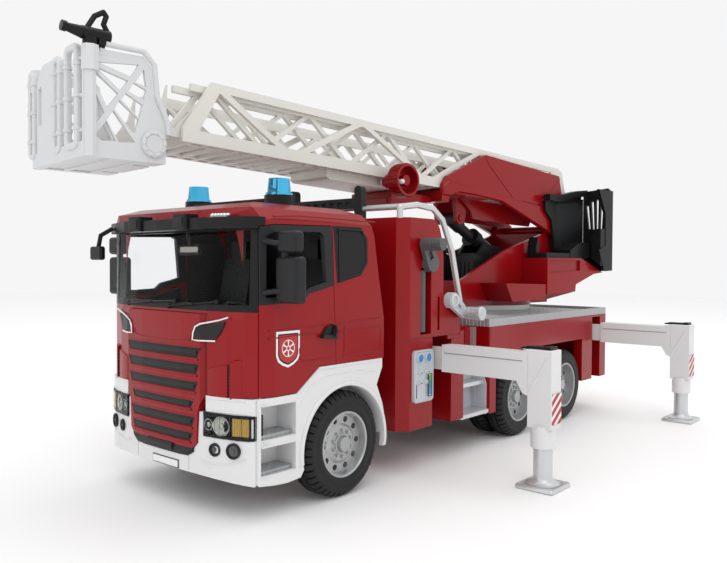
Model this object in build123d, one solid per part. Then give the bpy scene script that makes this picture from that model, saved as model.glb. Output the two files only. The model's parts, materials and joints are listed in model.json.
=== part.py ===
from build123d import *
import os
from math import cos, radians, sin

# Toy turntable ladder fire engine, 1:16. Millimetres, Z up, +X forward, +Y left.
# All sizes below are measured from the ground point under the front axle; FRAME_X moves that point so
# that the row's origin lies under the middle of the whole toy.
FRAME_X = 131.87

TYRE_R = 33.0
TYRE_W = 20.0
TWIN_W = 17.5
RIM_R = 20.5
AXLE_R = 2.5
HUB_BORE = 2.56
WHEEL_FACE_Y = 75.6
REAR_AXLES = (-220.6, -306.9)

BODY_Y = 76.0
WALL = 3.0
DECK_TOP = 102.0
DECK_FRONT, DECK_REAR = -170.4, -399.5

TURN_X = -285.0
TURN_YAW = -6.0
PIVOT_A, PIVOT_Z = -72.0, 181.0
ELEVATION = 2.5
RING_R = 42.0

BEAM_X = (-100.7, -376.9)
BEAM_Z0, BEAM_Z1 = 68.9, 88.1
LEG_Y = 154.5


def box(x0, x1, y0, y1, z0, z1):
    return Pos((x0 + x1) / 2, (y0 + y1) / 2, (z0 + z1) / 2) * Box(x1 - x0, y1 - y0, z1 - z0)


def side(points, y0, y1):
    """A plate drawn in X and Z, from y0 to y1."""
    face = make_face(Polyline(*[(x, 0, z) for x, z in points], close=True))
    return Pos(0, y0, 0) * extrude(face, y1 - y0, dir=(0, 1, 0))


def plan(points, z0, z1):
    """A plate drawn in X and Y, from z0 to z1."""
    face = make_face(Polyline(*[(x, y, 0) for x, y in points], close=True))
    return Pos(0, 0, z0) * extrude(face, z1 - z0, dir=(0, 0, 1))


def front(points, x0, x1):
    """A plate drawn in Y and Z, from x0 to x1."""
    face = make_face(Polyline(*[(0, y, z) for y, z in points], close=True))
    return Pos(x0, 0, 0) * extrude(face, x1 - x0, dir=(1, 0, 0))


def both(half):
    """The left half's outline, as (along, across) points from front to back, closed on the right."""
    return [(a, b) for a, b in half] + [(a, -b) for a, b in reversed(half) if b != 0]


def rod(p, q, r):
    p, q = Vector(*p), Vector(*q)
    return Plane(origin=p, z_dir=q - p) * Cylinder(r, (q - p).length,
                                                   align=(Align.CENTER, Align.CENTER, Align.MIN))


def pipe(points, r):
    solid = rod(points[0], points[1], r)
    for p, q in zip(points[1:], points[2:]):
        solid += Pos(*p) * Sphere(r)
        solid += rod(p, q, r)
    return solid


def drum(x, y0, y1, z, r):
    """A cylinder across the vehicle."""
    return rod((x, y0, z), (x, y1, z), r)


def post(x, y, z0, z1, r):
    return rod((x, y, z0), (x, y, z1), r)


def left_right(shape):
    """The left piece and its mirror image on the right."""
    return [shape, mirror(shape, Plane.XZ)]


NODES = {}


def keep(name, *shapes):
    flat = []
    for s in shapes:
        flat += s if isinstance(s, list) else [s]
    NODES[name] = flat


# Wheels: tyre and rim turned about the axle; r and y run from the outer face inwards.
def tyre(x, y_out, width, s):
    prof = [(RIM_R, 0.6), (RIM_R + 4, 0.0), (TYRE_R - 4.5, 0.4), (TYRE_R - 1.2, 2.6), (TYRE_R, 4.4),
            (TYRE_R, width - 4.4), (TYRE_R - 1.2, width - 2.6), (TYRE_R - 4.5, width - 0.4),
            (RIM_R + 4, width), (RIM_R, width - 0.6)]
    face = make_face(Polyline(*[(r, 0, -t) for r, t in prof], close=True))
    ring = revolve(face, Axis.Z, 360)
    return Pos(x, s * y_out, TYRE_R) * Rot(-90 * s, 0, 0) * ring


def rim(x, y_out, width, s, dish, hub_out, hub_in):
    """dish is how far in the disc lies; the hub stands from hub_out to hub_in below the outer face."""
    barrel = [(RIM_R, 0.6), (RIM_R, width - 0.6), (RIM_R - 2, width - 0.6), (RIM_R - 2, dish + 2.5),
              (10.5, dish + 2.5), (10.5, hub_in), (HUB_BORE, hub_in), (HUB_BORE, hub_out + 3),
              (0, hub_out + 3), (0, hub_out), (4.5, hub_out), (5.5, dish - 1.4), (10.5, dish - 1.4),
              (12.5, dish), (RIM_R - 2.6, dish), (RIM_R - 1.6, 0.6)]
    face = make_face(Polyline(*[(r, 0, -t) for r, t in barrel], close=True))
    body = revolve(face, Axis.Z, 360)
    holes = [Rot(0, 0, 36 * i) * Pos(15.2, 0, -dish - 1.2) * Cylinder(1.9, 6) for i in range(10)]
    nuts = [Rot(0, 0, 36 * i + 18) * Pos(8.2, 0, -dish + 1.9) * Cylinder(0.9, 1.4) for i in range(10)]
    body = body - holes + nuts
    return Pos(x, s * y_out, TYRE_R) * Rot(-90 * s, 0, 0) * body


# name, axle x, side
WHEELS = (("front_left", 0.0, 1), ("front_right", 0.0, -1),
          ("middle_left", REAR_AXLES[0], 1), ("middle_right", REAR_AXLES[0], -1),
          ("rear_left", REAR_AXLES[1], 1), ("rear_right", REAR_AXLES[1], -1))

for name, x, s in WHEELS:
    if x == 0.0:
        keep("tyre_" + name, tyre(x, WHEEL_FACE_Y, TYRE_W, s))
        keep("rim_" + name, rim(x, WHEEL_FACE_Y, TYRE_W, s, 5.0, 0.5, 21.0))
    else:
        inner = WHEEL_FACE_Y - 2 * TWIN_W - 2.6
        keep("tyre_" + name, tyre(x, WHEEL_FACE_Y, TWIN_W, s),
             tyre(x, WHEEL_FACE_Y - TWIN_W - 2.6, TWIN_W, s))
        outer = rim(x, WHEEL_FACE_Y, TWIN_W, s, 8.0, 3.0, 37.6)
        sleeve = Cylinder(RIM_R, TWIN_W - 1.2) - Cylinder(RIM_R - 2, TWIN_W)
        web = Cylinder(RIM_R - 1.5, 3) - Cylinder(9, 4)
        y_mid = WHEEL_FACE_Y - TWIN_W - 2.6 - TWIN_W / 2
        inner_ring = Pos(x, s * y_mid, TYRE_R) * Rot(90, 0, 0) * (sleeve + web)
        keep("rim_" + name, outer + inner_ring)

# Chassis: two rails, cross members, axle hangers and the guides of the stabiliser beams.
chassis = box(-396, 62, 18, 24, 40, 54) + box(-396, 62, -24, -18, 40, 54)
for x in (56, -24, -150, -262, -345, -393):
    chassis += box(x - 3, x + 3, -19, 19, 43, 51)
for x in (0.0,) + REAR_AXLES:
    for s in (1, -1):
        chassis += side([(x - 11, 41), (x - 5, 27), (x + 5, 27), (x + 11, 41)], 21 * s - 3, 21 * s + 3)
for x in BEAM_X:
    chassis += box(x - 8.5, x + 8.5, -52, 52, 64, 68.2)
    for s in (1, -1):
        chassis += box(x - 6, x + 6, 21 * s - 3, 21 * s + 3, 53, 65)
for x in (44, -22):
    chassis += box(x - 5, x + 5, -45, 45, 54, 58)
    for s in (1, -1):
        chassis += box(x - 4, x + 4, 40 * s - 4, 40 * s + 4, 57, 81.9)
for x in (-150, -190, -262, -340):
    chassis += box(x - 4, x + 4, -50, 50, 54, 58)
    for s in (1, -1):
        chassis += box(x - 4, x + 4, 30 * s - 4, 30 * s + 4, 57, 89.5)
chassis += box(-88, -62, -26, 26, 54, 58)
for x in (0.0,) + REAR_AXLES:
    chassis -= drum(x, -30, 30, TYRE_R, AXLE_R)
# Rear towing hook
chassis += box(-406, -395, -8, 8, 42, 50)
chassis -= post(-401.5, 0, 38, 56, 2.2)
keep("chassis_frame", chassis)
PINS = ((0.0, 71.0), (REAR_AXLES[0], 69.0), (REAR_AXLES[1], 69.0))
keep("axle_pins", [drum(x, -y, y, TYRE_R, AXLE_R) for x, y in PINS])

# Cab: upright to the belt, then leaning in to the roof between two outlines. t insets it by the wall's
# thickness.
CAB_PLAN = [(-42, 76), (60, 76), (69, 73.5), (73, 66), (77, 54), (80.5, 38), (81, 0)]
SCREEN_LOW = [(-42, 76), (60, 76), (69, 73.5), (72.6, 66), (75.6, 54), (77.8, 38), (78.4, 0)]
SCREEN_HIGH = [(-42, 76), (60, 76), (69, 73.5), (71.2, 66), (72.6, 54), (73.6, 38), (74, 0)]
BELT_Z, SCREEN_Z0, SCREEN_Z1 = 114.0, 118.5, 166.0
CAB_SIDE = [(-36, 84), (-36, 110), (-30, 140), (-24.5, 170), (-21, 177), (-8, 181.5), (30, 182.5),
            (60, 180.5), (70, 177), (74, 171), (90, 165), (90, 60), (-36, 60)]
CAB_FRONT = [(76, 50), (76, 163), (74.5, 170), (69, 176.5), (58, 180.5), (30, 183), (0, 183.5)]


def cab_form(t):
    def ring(points, z):
        inset = [(x - t if x > 55 else x, max(y - t, 0)) for x, y in points]
        return Pos(0, 0, z) * make_face(Polyline(*[(x, y, 0) for x, y in both(inset)], close=True))

    belt, low, high = ring(CAB_PLAN, BELT_Z), ring(SCREEN_LOW, SCREEN_Z0), ring(SCREEN_HIGH, SCREEN_Z1)
    body = extrude(belt, BELT_Z - 40, dir=(0, 0, -1)) + loft([belt, low], ruled=True)
    body += loft([low, high], ruled=True) + extrude(high, 40, dir=(0, 0, 1))
    outline = make_face(Polyline(*[(x, z) for x, z in CAB_SIDE], close=True))
    if t:
        outline = offset(outline, amount=-t)
    body &= Rot(90, 0, 0) * Pos(0, 0, -90) * extrude(outline, 180)
    f = [(y - t if y else 0, z - t) for y, z in CAB_FRONT]
    body &= front(f + [(-y, z) for y, z in reversed(f) if y], -60, 100)
    return body


outer = cab_form(0)
inner = cab_form(WALL)
wall = outer - inner
below = side([(-60, 30), (100, 30), (100, 70.5), (43, 70.5), (24, 84), (-60, 84)], -90, 90)
wall -= below
floor = box(-35, 72.9, -80, 80, 82, 86) & inner
floor -= [box(8.5, 69.6, 69.4, 90, 79, 87), box(8.5, 69.6, -90, -69.4, 79, 87)]

# The doors turn on short pins in the wings' lids and under the roof's edge.
HINGE_X, HINGE_Y, HINGE_R = 67.8, 72.6, 0.6
DOOR = [(9.8, 84.4), (24.1, 84.3), (43.1, 70.9), (69.0, 70.9), (69.0, 165.6), (60, 167), (14.0, 168.0)]
DOOR_GAP = [(9.4, 83.0), (9.4, 84.3), (13.6, 168.4), (60.2, 167.4), (69.4, 166.0), (69.4, 70.0), (43, 70.0),
            (24, 83.6)]
BELT = [(0, 60), (0, 133), (9.8, 132.6), (33, 127.6), (38, 123.6), (69, 122), (80, 122), (80, 60)]
DOOR_LIGHT = [(65, 126), (38, 127.2), (33.5, 131), (18.5, 134.6), (21.0, 162), (24, 164), (60, 163),
              (65, 160.5)]
QUARTER = [(9.4, 133.2), (-13, 138), (-19.5, 146), (-19, 161), (-14, 168.4), (12.9, 168.4)]

door_ring = wall & side(DOOR, 70, 90)
belt = side(BELT, 60, 90)
lower_pin = post(HINGE_X, HINGE_Y, 69, 75, HINGE_R)
upper_pin = post(HINGE_X, HINGE_Y, 161.5, 168, HINGE_R)
door_ring -= [post(HINGE_X, HINGE_Y, 60, 75.6, HINGE_R + 0.06),
              post(HINGE_X, HINGE_Y, 161, 180, HINGE_R + 0.06)]
keep("door_left", door_ring & belt)
handle = side([(11.5, 99.6), (24.5, 101.2), (19.0, 107.4), (13.0, 108.6)], 76, 77.6)
handle += side([(11.5, 99.6), (24.5, 101.2), (23.4, 103.2), (12.2, 102.0)], 76, 79.2)
# The two mirrors are carried on the door's frame. Columns: x, y, z of the middle, then size along, across,
# up.
MIRRORS = ((58.0, 87.0, 136.3, 9, 17, 26), (59.0, 87.6, 157.2, 8, 15, 12))
frame_left = (door_ring - belt) - side(DOOR_LIGHT, 60, 90)
frame_left += pipe([(66.5, 73.5, 158), (64, 80, 156.6), (60, 84, 156.6)], 1.6)
frame_left += pipe([(66.5, 73.5, 129), (64, 80, 130.0), (60, 84, 130)], 1.6) + post(60, 84, 148, 152, 1.8)
for x, y, z, a, b, c in MIRRORS:
    frame_left += fillet(box(x - a / 2, x + a / 2, y - b / 2, y + b / 2, z - c / 2, z + c / 2).edges(), 2.4)
keep("door_frame_left", frame_left, handle)
for n in ("door", "door_frame"):
    keep(n + "_right", [mirror(piece, Plane.XZ) for piece in NODES[n + "_left"]])

wall -= [side(DOOR_GAP, 60, 90), side(DOOR_GAP, -90, -60)]
quarter = side(QUARTER, 60, 90)
panes = [wall & quarter, mirror(wall & quarter, Plane.XZ)]
wall -= [quarter, mirror(quarter, Plane.XZ)]
wall += left_right(upper_pin)

# Black front frame round the windscreen, and the sun visor over it.
black_zone = box(69.4, 100, -90, 90, SCREEN_Z0 - 0.5, 170.4)
screen_hole = box(60, 100, -68, 68, 121.8, 163.6)
frame_front = (wall & black_zone) - screen_hole
wall -= black_zone
screen = (outer - cab_form(1.2)) & box(69.4, 100, -67.7, 67.7, 121.9, 163.5)
visor = plan(both([(64, 75.0), (72.2, 74.5), (77, 66), (81, 54), (84.5, 38), (85.5, 0)]), 164.5, 171)
visor -= outer
visor &= box(66, 100, -90, 90, 160, 175) - box(60, 70.8, -90, 90, 160, 166.3)
marker = fillet(box(77, 87, 17, 30, 164.5, 173.5).edges().filter_by(Axis.Z), 1.5)
keep("windscreen_frame", frame_front + visor + left_right(marker - outer), panes)
keep("cab_glazing", screen)

# Red grille panel with six black slats. Columns: top, half width, height.
SLATS = ((96.7, 37.7, 5.6), (87.3, 36.7, 5.6), (77.0, 35.5, 5.4), (66.0, 31.9, 4.2), (56.6, 33.0, 5.6),
         (47.3, 31.4, 4.8))
GRILLE_HALF = [(77.5, 40), (82.0, 37), (83.2, 20), (83.5, 0)]
GRILLE_FACE = [(0, 38.5), (30.5, 38.5), (34, 42), (35, 60), (40, 72), (40, 116.4), (0, 116.4)]
face_ring = [(y, z) for y, z in GRILLE_FACE] + [(-y, z) for y, z in reversed(GRILLE_FACE) if y]
grille = plan(both(GRILLE_HALF), 30, 120) & front(face_ring, 77.5, 90)
backing = plan(both([(73.0, 39), (77.2, 39), (77.4, 20), (77.4, 0)]), 38.6, 116)
slats = backing & front(face_ring, 60, 90)
for top, half, tall in SLATS:
    bar = front([(-half, top), (half, top), (half - 2.5, top - tall), (-half + 2.5, top - tall)], 76, 90)
    grille -= bar
    clear = front([(-half + 0.1, top - 0.1), (half - 0.1, top - 0.1), (half - 2.6, top - tall + 0.1),
                   (-half + 2.6, top - tall + 0.1)], 76, 90)
    slats += clear & plan(both([(75, 39), (81.8, 37), (82.9, 20), (83.2, 0)]), 30, 120)
keep("grille_panel", grille)
keep("grille_slats", slats)
front_cut = box(73, 100, -40.2, 40.2, 60, 116.6)
wall -= front_cut
keep("cab_shell", wall + floor)

# White bumper with open seats for the lamps, and the black intake behind its notch.
BUMPER = [(56, 76), (64, 75.4), (72, 71.5), (77, 60), (80, 45), (82.5, 20), (82.8, 0)]
inner_bumper = [(56, 73), (63, 72.4), (69.5, 69), (74, 58), (77, 44), (79.5, 20), (79.8, 0)]
bumper = plan(both(BUMPER), 20, 70) - plan(both(inner_bumper), 23, 75) + \
    (plan(both(BUMPER), 20, 23) & box(50, 90, -80, 80, 10, 90))
bumper &= side([(50, 19), (56, 19.5), (74, 22), (90, 26), (90, 70), (50, 70)], -90, 90)
bumper -= box(50, 70.5, -80, 80, 10, 80)
bumper -= plan(both([(60, 40.6), (90, 40.6), (90, 0)]), 60.2, 80)
bumper -= front([(-40.6, 90), (-40.6, 71), (-35.4, 60), (-34.4, 42), (-30.8, 38.2), (30.8, 38.2),
                 (34.4, 42), (35.4, 60), (40.6, 71), (40.6, 90)], 60, 95)
bumper -= front([(-21, 33), (21, 33), (24, 40), (-24, 40)], 60, 95)
lamp_seat = [box(66, 90, 38.5, 70.6, 47.4, 60.4), box(66, 90, -70.6, -38.5, 47.4, 60.4)]
bumper -= lamp_seat
fog = [(57.5, 41.0, 3.4), (67.0, 40.5, 3.9)]
for y, z, r in fog:
    for s in (1, -1):
        bumper -= rod((60, s * y, z), (95, s * y, z), r)
keep("front_bumper", bumper)

unit = plan([(71, 38.7), (80.2, 38.7), (79.4, 45), (76.4, 60), (72.8, 70.2), (71, 70.2)], 47.6, 60.2)
for x, y, r in ((76.0, 44.6, 4.2), (74.0, 54.8, 4.8)):
    unit -= rod((x, y, 54), (x + 20, y, 54), r)
fogs = [rod((71, y, z), (79.6 - (y - 55) * 0.35, y, z), r - 0.1) for y, z, r in fog]
keep("lamps", left_right(unit), [left_right(f) for f in fogs][0], [left_right(f) for f in fogs][1])

# White wings: wheel arch, boarding steps' well and its two openings.
ARCH_X, ARCH_R = 0.8, 36.8
WING = [(70.2, 70.3), (43, 70.3), (24, 83.8), (-34.5, 83.8), (-34.5, 78), (-29, 67), (-35.0, 54),
        (-38.4, 40), (-38.6, 25.8), (-30, 25.8), (30, 25.8), (36, 25.8), (39.5, 21), (50, 20.2),
        (70.2, 21.6)]
wing = side(WING, 73, BODY_Y)
wing -= drum(ARCH_X, 60, 90, TYRE_R, ARCH_R)
liner = drum(ARCH_X, 48, 75.4, TYRE_R, ARCH_R + 1.8) - drum(ARCH_X, 40, 90, TYRE_R, ARCH_R)
liner &= box(-60, 60, 40, 90, 34, 83.8)
well = box(41, 70.2, 57, 75, 22.2, 70.2) - box(43, 68.2, 59, 90, 25, 68)
wing = (wing + liner + well) & plan(both(CAB_PLAN), 10, 90)
wing += lower_pin
wing -= [box(43.5, 67.9, 59, 90, 47, 66), box(43.5, 67.9, 59, 90, 27, 43)]
wing += box(42, 69, 59, 73.4, 42.8, 46.8)
keep("front_wings", left_right(wing))
treads = [box(43.6, 67.8, 60, 72.9, 46.9, 49.4), box(43.6, 67.8, 60, 72.9, 25.1, 29.2)]
keep("step_treads", [left_right(t) for t in treads][0], [left_right(t) for t in treads][1])

# Inside the cab: dashboard, two seats, wheel.
dash = side([(60, 86.1), (72.8, 86.1), (72.8, 113), (71, 118.5), (58, 117), (52, 108), (52, 100), (60, 97)],
            -68, 68)
dash &= cab_form(WALL + 0.1)
cab_in = [dash]
for s in (1, -1):
    y = 36 * s
    seat = side([(-20, 86.1), (16, 86.1), (16, 92), (24, 100), (24, 104), (2, 104), (-6, 148), (-13, 148),
                 (-12, 100), (-20, 92)], y - 15, y + 15)
    head = box(-12.6, -6.4, y - 8, y + 8, 148, 161)
    cab_in.append(seat + head)
wheel = Plane(origin=(46, 36, 116),
              z_dir=(-0.45, 0, 0.9)) * (Torus(12.5, 1.3) + Box(24, 3, 1.6) + Cylinder(3.2, 3))
column = rod((47, 36, 115), (56, 36, 104), 1.8)
cab_in[0] = cab_in[0] + wheel + column
keep("cab_interior", cab_in)

# Kerb mirror at the right front corner and the driver's mirror behind the windscreen.
kerb = (fillet(box(84.5, 88.5, -74, -60, 147, 156).edges(), 1.6)
        + pipe([(86.5, -66, 155), (86.5, -63, 163), (80, -59, 167.8)], 1.4))
kerb -= [outer, visor]
room = fillet(box(60.2, 62.4, -11, 11, 150, 157).edges(), 1.0) + rod((61.4, 0, 156.5), (64.6, 0, 170), 1.3)
keep("mirrors", kerb, room & inner)

# Light bar with two beacons on the roof.
bar = box(17, 33, -45, 45, 179, 185.5) - outer
for y in (-41, 41):
    bar += post(25, y, 181, 187.6, 9.2) - outer
keep("light_bar", bar)
beacons = []
for y in (-41, 41):
    beacons.append(Pos(25, y, 187.6) * Cone(7.6, 6.6, 10.4, align=(Align.CENTER, Align.CENTER, Align.MIN)) +
                   Pos(25, y, 187.6) * Cylinder(8.4, 1.6, align=(Align.CENTER, Align.CENTER, Align.MIN)))
keep("beacons", beacons)


def pair(x0, x1, y0, y1, z0, z1):
    """A box and its mirror image on the right."""
    return [box(x0, x1, y0, y1, z0, z1), box(x0, x1, -y1, -y0, z0, z1)]


# Equipment tower behind the cab.
TOWER = [(-57.3, 30), (-57.3, 177.5), (-91, 177.5), (-96, 175), (-99.5, 170.6), (-102.6, 161.5),
         (-104, 150), (-104, 124), (-126, 118), (-126, 90.5), (-91, 90.5), (-91, 30)]
tower = side(TOWER, -BODY_Y, BODY_Y)
tower = chamfer(tower.edges().filter_by(Axis.Z).group_by(Axis.X)[-1], 7)
tower -= box(-110, -50, -26.2, 26.2, 20, 58)
tower -= pair(-110, -91, 59, 90, 80, 93.4)
# Tall slot for the hose, narrow slot behind it and a shallow step along the side.
tower -= pair(-89, -76.5, 66, 90, 96, 143)
tower -= pair(-99.5, -97, 72, 90, 98, 122)
tower -= pair(-126.5, -57, 75.4, 90, 93.2, 94.0)
keep("tower_body", tower)

panel = fillet(box(-89.7, -66.8, 76, 78, 49, 85.5).edges().filter_by(Axis.Y), 3.0)
# Dials and knobs on the panel: x, z, radius.
for x, z, r in ((-73, 80, 3.1), (-82.5, 80, 3.1), (-73, 70, 1.3), (-81, 70, 1.3), (-73, 63, 1.3),
                (-80, 63, 1.3)):
    panel += drum(x, 77.5, 79.2, z, r)
panel += box(-85.2, -82.6, 77.5, 79.2, 53, 68)


def crank(x, z, disc, arm, knob, reach, y0, grip_y):
    """A flat crank: disc on the tower's side, arm to (x, z) + reach, and a ribbed knob on it."""
    kx, kz = x + reach[0], z + reach[1]
    dx, dz = reach
    ln = (dx * dx + dz * dz) ** 0.5
    nx, nz = -dz / ln, dx / ln
    c = drum(x, 76, y0 + 3, z, disc) + drum(kx, y0, y0 + 3, kz, knob)
    c += side([(x + nx * disc, z + nz * disc), (kx + nx * knob, kz + nz * knob),
               (kx - nx * knob, kz - nz * knob), (x - nx * disc, z - nz * disc)], y0, y0 + 3)
    c += drum(kx, y0 + 2, grip_y, kz, knob - 0.4)
    for i in range(4):
        y = y0 + 5 + i * (grip_y - y0 - 6) / 4
        c += drum(kx, y, y + 1.3, kz, knob)
    c -= side([(x + dx * 0.2 - nx * arm, z + dz * 0.2 - nz * arm),
               (x + dx * 0.62 - nx * arm, z + dz * 0.62 - nz * arm),
               (x + dx * 0.62 + nx * arm, z + dz * 0.62 + nz * arm),
               (x + dx * 0.2 + nx * arm, z + dz * 0.2 + nz * arm)], y0 + 1.4, y0 + 4)
    return c


keep("tower_controls", left_right(panel),
     left_right(crank(-110.5, 119.1, 5.8, 1.6, 4.3, (-14, -9.5), 78.5, 97)))
rail = []
for s in (1, -1):
    rail.append(pipe([(-60, 70 * s, 177), (-60, 70 * s, 184.5), (-78, 71 * s, 187), (-97, 71 * s, 185.6),
                      (-109.2, 71 * s, 178), (-122, 71 * s, 154.9), (-133.5, 71 * s, 116),
                      (-130, 71 * s, 112.4), (-122, 71 * s, 112.4)], 2.2))
cross = [rod((-78, -71, 187), (-78, 71, 187), 1.8)]
cross += [rod((-60, 70 * s, 184.5), (-60, 37.1 * s, 184.5), 1.8) for s in (1, -1)]
keep("tower_rail", (rail[0] + rail[1] + cross) - tower)
upper = crank(-84.5, 146.5, 6.6, 2.2, 4.6, (8.0, 12.5), 78.2, 95)
hose = pipe([(-82.5, 72, 97.5), (-82.5, 72, 141)], 3.0)
keep("upper_cranks", left_right(upper), left_right(hose))

# Ladder rest on the tower.
rest = (box(-63, -57.4, -34, 34, 185, 192.6)
        - [box(-66, -50, y - 2.4, y + 2.4, 186.5, 190) for y in range(-24, 25, 8)])
rest += [box(-63, -57.4, s * 33.7 - 3.3, s * 33.7 + 3.3, 178, 198) for s in (1, -1)]
rest += [rod((-63, s * 33.7, 198), (-57.4, s * 33.7, 198), 3.3) for s in (1, -1)]
keep("ladder_rest", rest)

# Rear body: side panels with lockers, both beams' openings and a roof under the deck.
shell = box(DECK_REAR + 1, DECK_FRONT - 1.6, -74, 74, 89.6, 95.6)
shell += pair(-400, -172, 71, 74.6, 73.4, 95.6)
shell += pair(-131.5, -115, 26, 76, 29, 90.3)
shell += pair(-131.5, -126.3, 26, 76, 90, 95.6)
shell += pair(-181.5, -172, 26, 74.6, 26, 95.6)
shell += pair(-354, -344, 66, 74.6, 32, 95.6)
shell += pair(-400, -354, 26, 74.6, 32, 95.6)
shell += box(-172, -131.5, -54, 54, 82, 95.6)
shell += box(-398, -394, -70, 70, 54.5, 95.6)
shell -= box(-386, -368, -90, 90, 67.9, 89.1)
shell -= box(-400, -360, -26, 26, 30, 54.2)
shell -= [box(-386, -367, 58, 90, 20, 93.4), box(-386, -367, -90, -58, 20, 93.4)]
for s in (1, -1):
    for x in (-150, -190, -262, -340):
        shell -= box(x - 4.2, x + 4.2, 30 * s - 4.2, 30 * s + 4.2, 57, 89.6)
shell -= [box(x - 8.7, x + 8.7, -61, 61, 50, 68.4) for x in BEAM_X]
keep("rear_body", shell)

deck = (box(DECK_REAR, DECK_FRONT, -74.7, 74.7, 95.7, DECK_TOP)
        - box(DECK_REAR + 3, DECK_FRONT - 3, -71.7, 71.7, 99.4, 110))
keep("deck", deck)
BASE = (Align.CENTER, Align.CENTER, Align.MIN)
ring = Cylinder(RING_R, 8.4, align=BASE) - Pos(0, 0, 2) * Cylinder(9.06, 10, align=BASE)
keep("turntable_ring", Pos(TURN_X, 0, 99.4) * ring)
# Boarding steps at the side. Columns: tread height, front, depth in from the side.
STEPS = ((27.0, 16), (50.0, 12), (73.0, 8))
steps = box(-171.6, -131.8, 54.2, 56.6, 25, 95)
for z, deep in STEPS:
    steps += box(-171.6, -131.8, 55, 58 + deep, z, z + 3)
for x in (-171.6, -133.8):
    steps += side([(x, 25), (x + 2, 25), (x + 2, 95), (x, 95)], 55, 62)
keep("side_steps", left_right(steps))

# Stabilisers: beam with the leg's housing at its end, and the leg sliding in it. Left and right beams
# pass each other when they are pushed in: each has a narrow tongue in its own lane, and is hollow on the
# other.
POST_W, POST_D = 13.6, 25.0
BEAM_IN, BEAM_FULL, BEAM_END = 20.0, 82.0, 167.0


def beam(x, s):
    """Drawn for the left; the right one is turned half round about the beams' own middle."""
    b = (box(0.3, 6.8, BEAM_FULL, BEAM_END - 1, BEAM_Z0, BEAM_Z1)
         + box(-6.8, 1, BEAM_FULL, BEAM_END - 1, 86.3, BEAM_Z1))
    b += (box(-6.8, -5.3, BEAM_FULL, BEAM_END - 1, BEAM_Z0, BEAM_Z1)
          + box(0.4, 5.0, BEAM_IN, BEAM_FULL + 2, 70.1, 86.0))
    b += box(-POST_W / 2, POST_W / 2, BEAM_END - POST_D, BEAM_END, 39.5, 90.5)
    b += side([(-6.8, BEAM_Z0 + 1), (6.8, BEAM_Z0 + 1), (6.8, 60), (-6.8, 60)], BEAM_END - POST_D - 2.5,
              BEAM_END - 20)
    b += front([(BEAM_END - POST_D - 9, BEAM_Z0 + 1), (BEAM_END - POST_D - 9, BEAM_Z0),
                (BEAM_END - POST_D - 5, 62), (BEAM_END - POST_D, 60), (BEAM_END - POST_D + 1, BEAM_Z0 + 1)],
               -6.8, 6.8)
    b += box(-5.4, 5.4, LEG_Y - 9, LEG_Y + 9, 26.4, 40)
    b -= post(0, LEG_Y, 20, 86, 4.6)
    b -= box(-2.6, -1.2, BEAM_FULL + 2, 138, BEAM_Z1 - 1.2, BEAM_Z1 + 2)
    b += box(-5, 5, LEG_Y - 14, LEG_Y + 6, 90.4, 92)
    return Pos(x, 0, 0) * (Rot(0, 0, 180) * b if s < 0 else b)


def leg(x, s):
    g = (post(x, LEG_Y, 2, 62, 4.5)
         + Pos(x, LEG_Y, 3) * Cone(10.5, 5.6, 4, align=(Align.CENTER, Align.CENTER, Align.MIN)))
    plate = Pos(x, LEG_Y, 1.6) * Box(27, 27, 3.2)
    g += chamfer(plate.edges().group_by(Axis.Z)[-1], 1.2)
    return mirror(g, Plane.XZ) if s < 0 else g


for pos, x in zip(("front", "rear"), BEAM_X):
    for hand, s in (("left", 1), ("right", -1)):
        keep("stabiliser_beam_%s_%s" % (pos, hand), beam(x, s))
        keep("stabiliser_leg_%s_%s" % (pos, hand), leg(x, s))

# Turret, drawn about its own axis with the ladder straight ahead: x along, y across.
RAM_A, RAM_Z = -8.0, 155.0
EYE_A, EYE_Z = 54.0, 188.0
PLATE = [(77.3, 112), (77.3, 131.5), (69.7, 134.2), (46.9, 144.1), (10.7, 159.2), (-50.6, 176.1),
         (-60, 186), (-72, 192.5), (-84, 187), (-91, 170), (-100, 150), (-108, 138), (-108, 118),
         (-60, 111)]
POD = [(-14, 118.2), (-14, 152), (-72.7, 152.4), (-115.3, 138.1), (-98, 136.6), (-64, 126.5), (-63, 119.5)]
turret = Pos(0, 0, 107.9) * Cylinder(44, 4.1, align=(Align.CENTER, Align.CENTER, Align.MIN))
turret += box(-60, 76, -32, 32, 108.4, 112)
turret += [side(PLATE, 29, 32.4), side(PLATE, -32.4, -29)]
turret += box(73.5, 77, -32, 32, 111, 131) + box(-57, -54, -30, 30, 111, 177)
turret += (side([(-60, 111), (-108, 117), (-108, 121), (-60, 115)], -32, 32)
           + box(-108, -104, -32, 32, 117, 139))
# Operator's pod: an open tub beside the turret, with a shallow recess in its outer side.
turret += (side(POD, 32, 62) - box(-60, -18, 35, 58.5, 122, 160)
           - side([(-71, 140), (-17, 138), (-17, 150), (-71, 150)], 60, 64))
turret -= side([(-62, 130), (-62, 160), (-80, 160), (-100, 142)], 35, 58.5)
# Boarding tray below the pod.
TRAY = [(49.2, 129), (-16.5, 127.3), (-12, 113), (39.5, 112.6)]
turret += side(TRAY, 32, 61) - side([(40, 140), (-9, 140), (-6, 116), (33, 116)], 35, 57.5)
turret += post(0, 0, 102, 110, 9.0)
turret += [drum(PIVOT_A, s * 31, s * 32.6, PIVOT_Z, 7.5) for s in (1, -1)]
turret -= drum(PIVOT_A, -40, 40, PIVOT_Z, 4.06)
keep("turret_body", turret)

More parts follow.
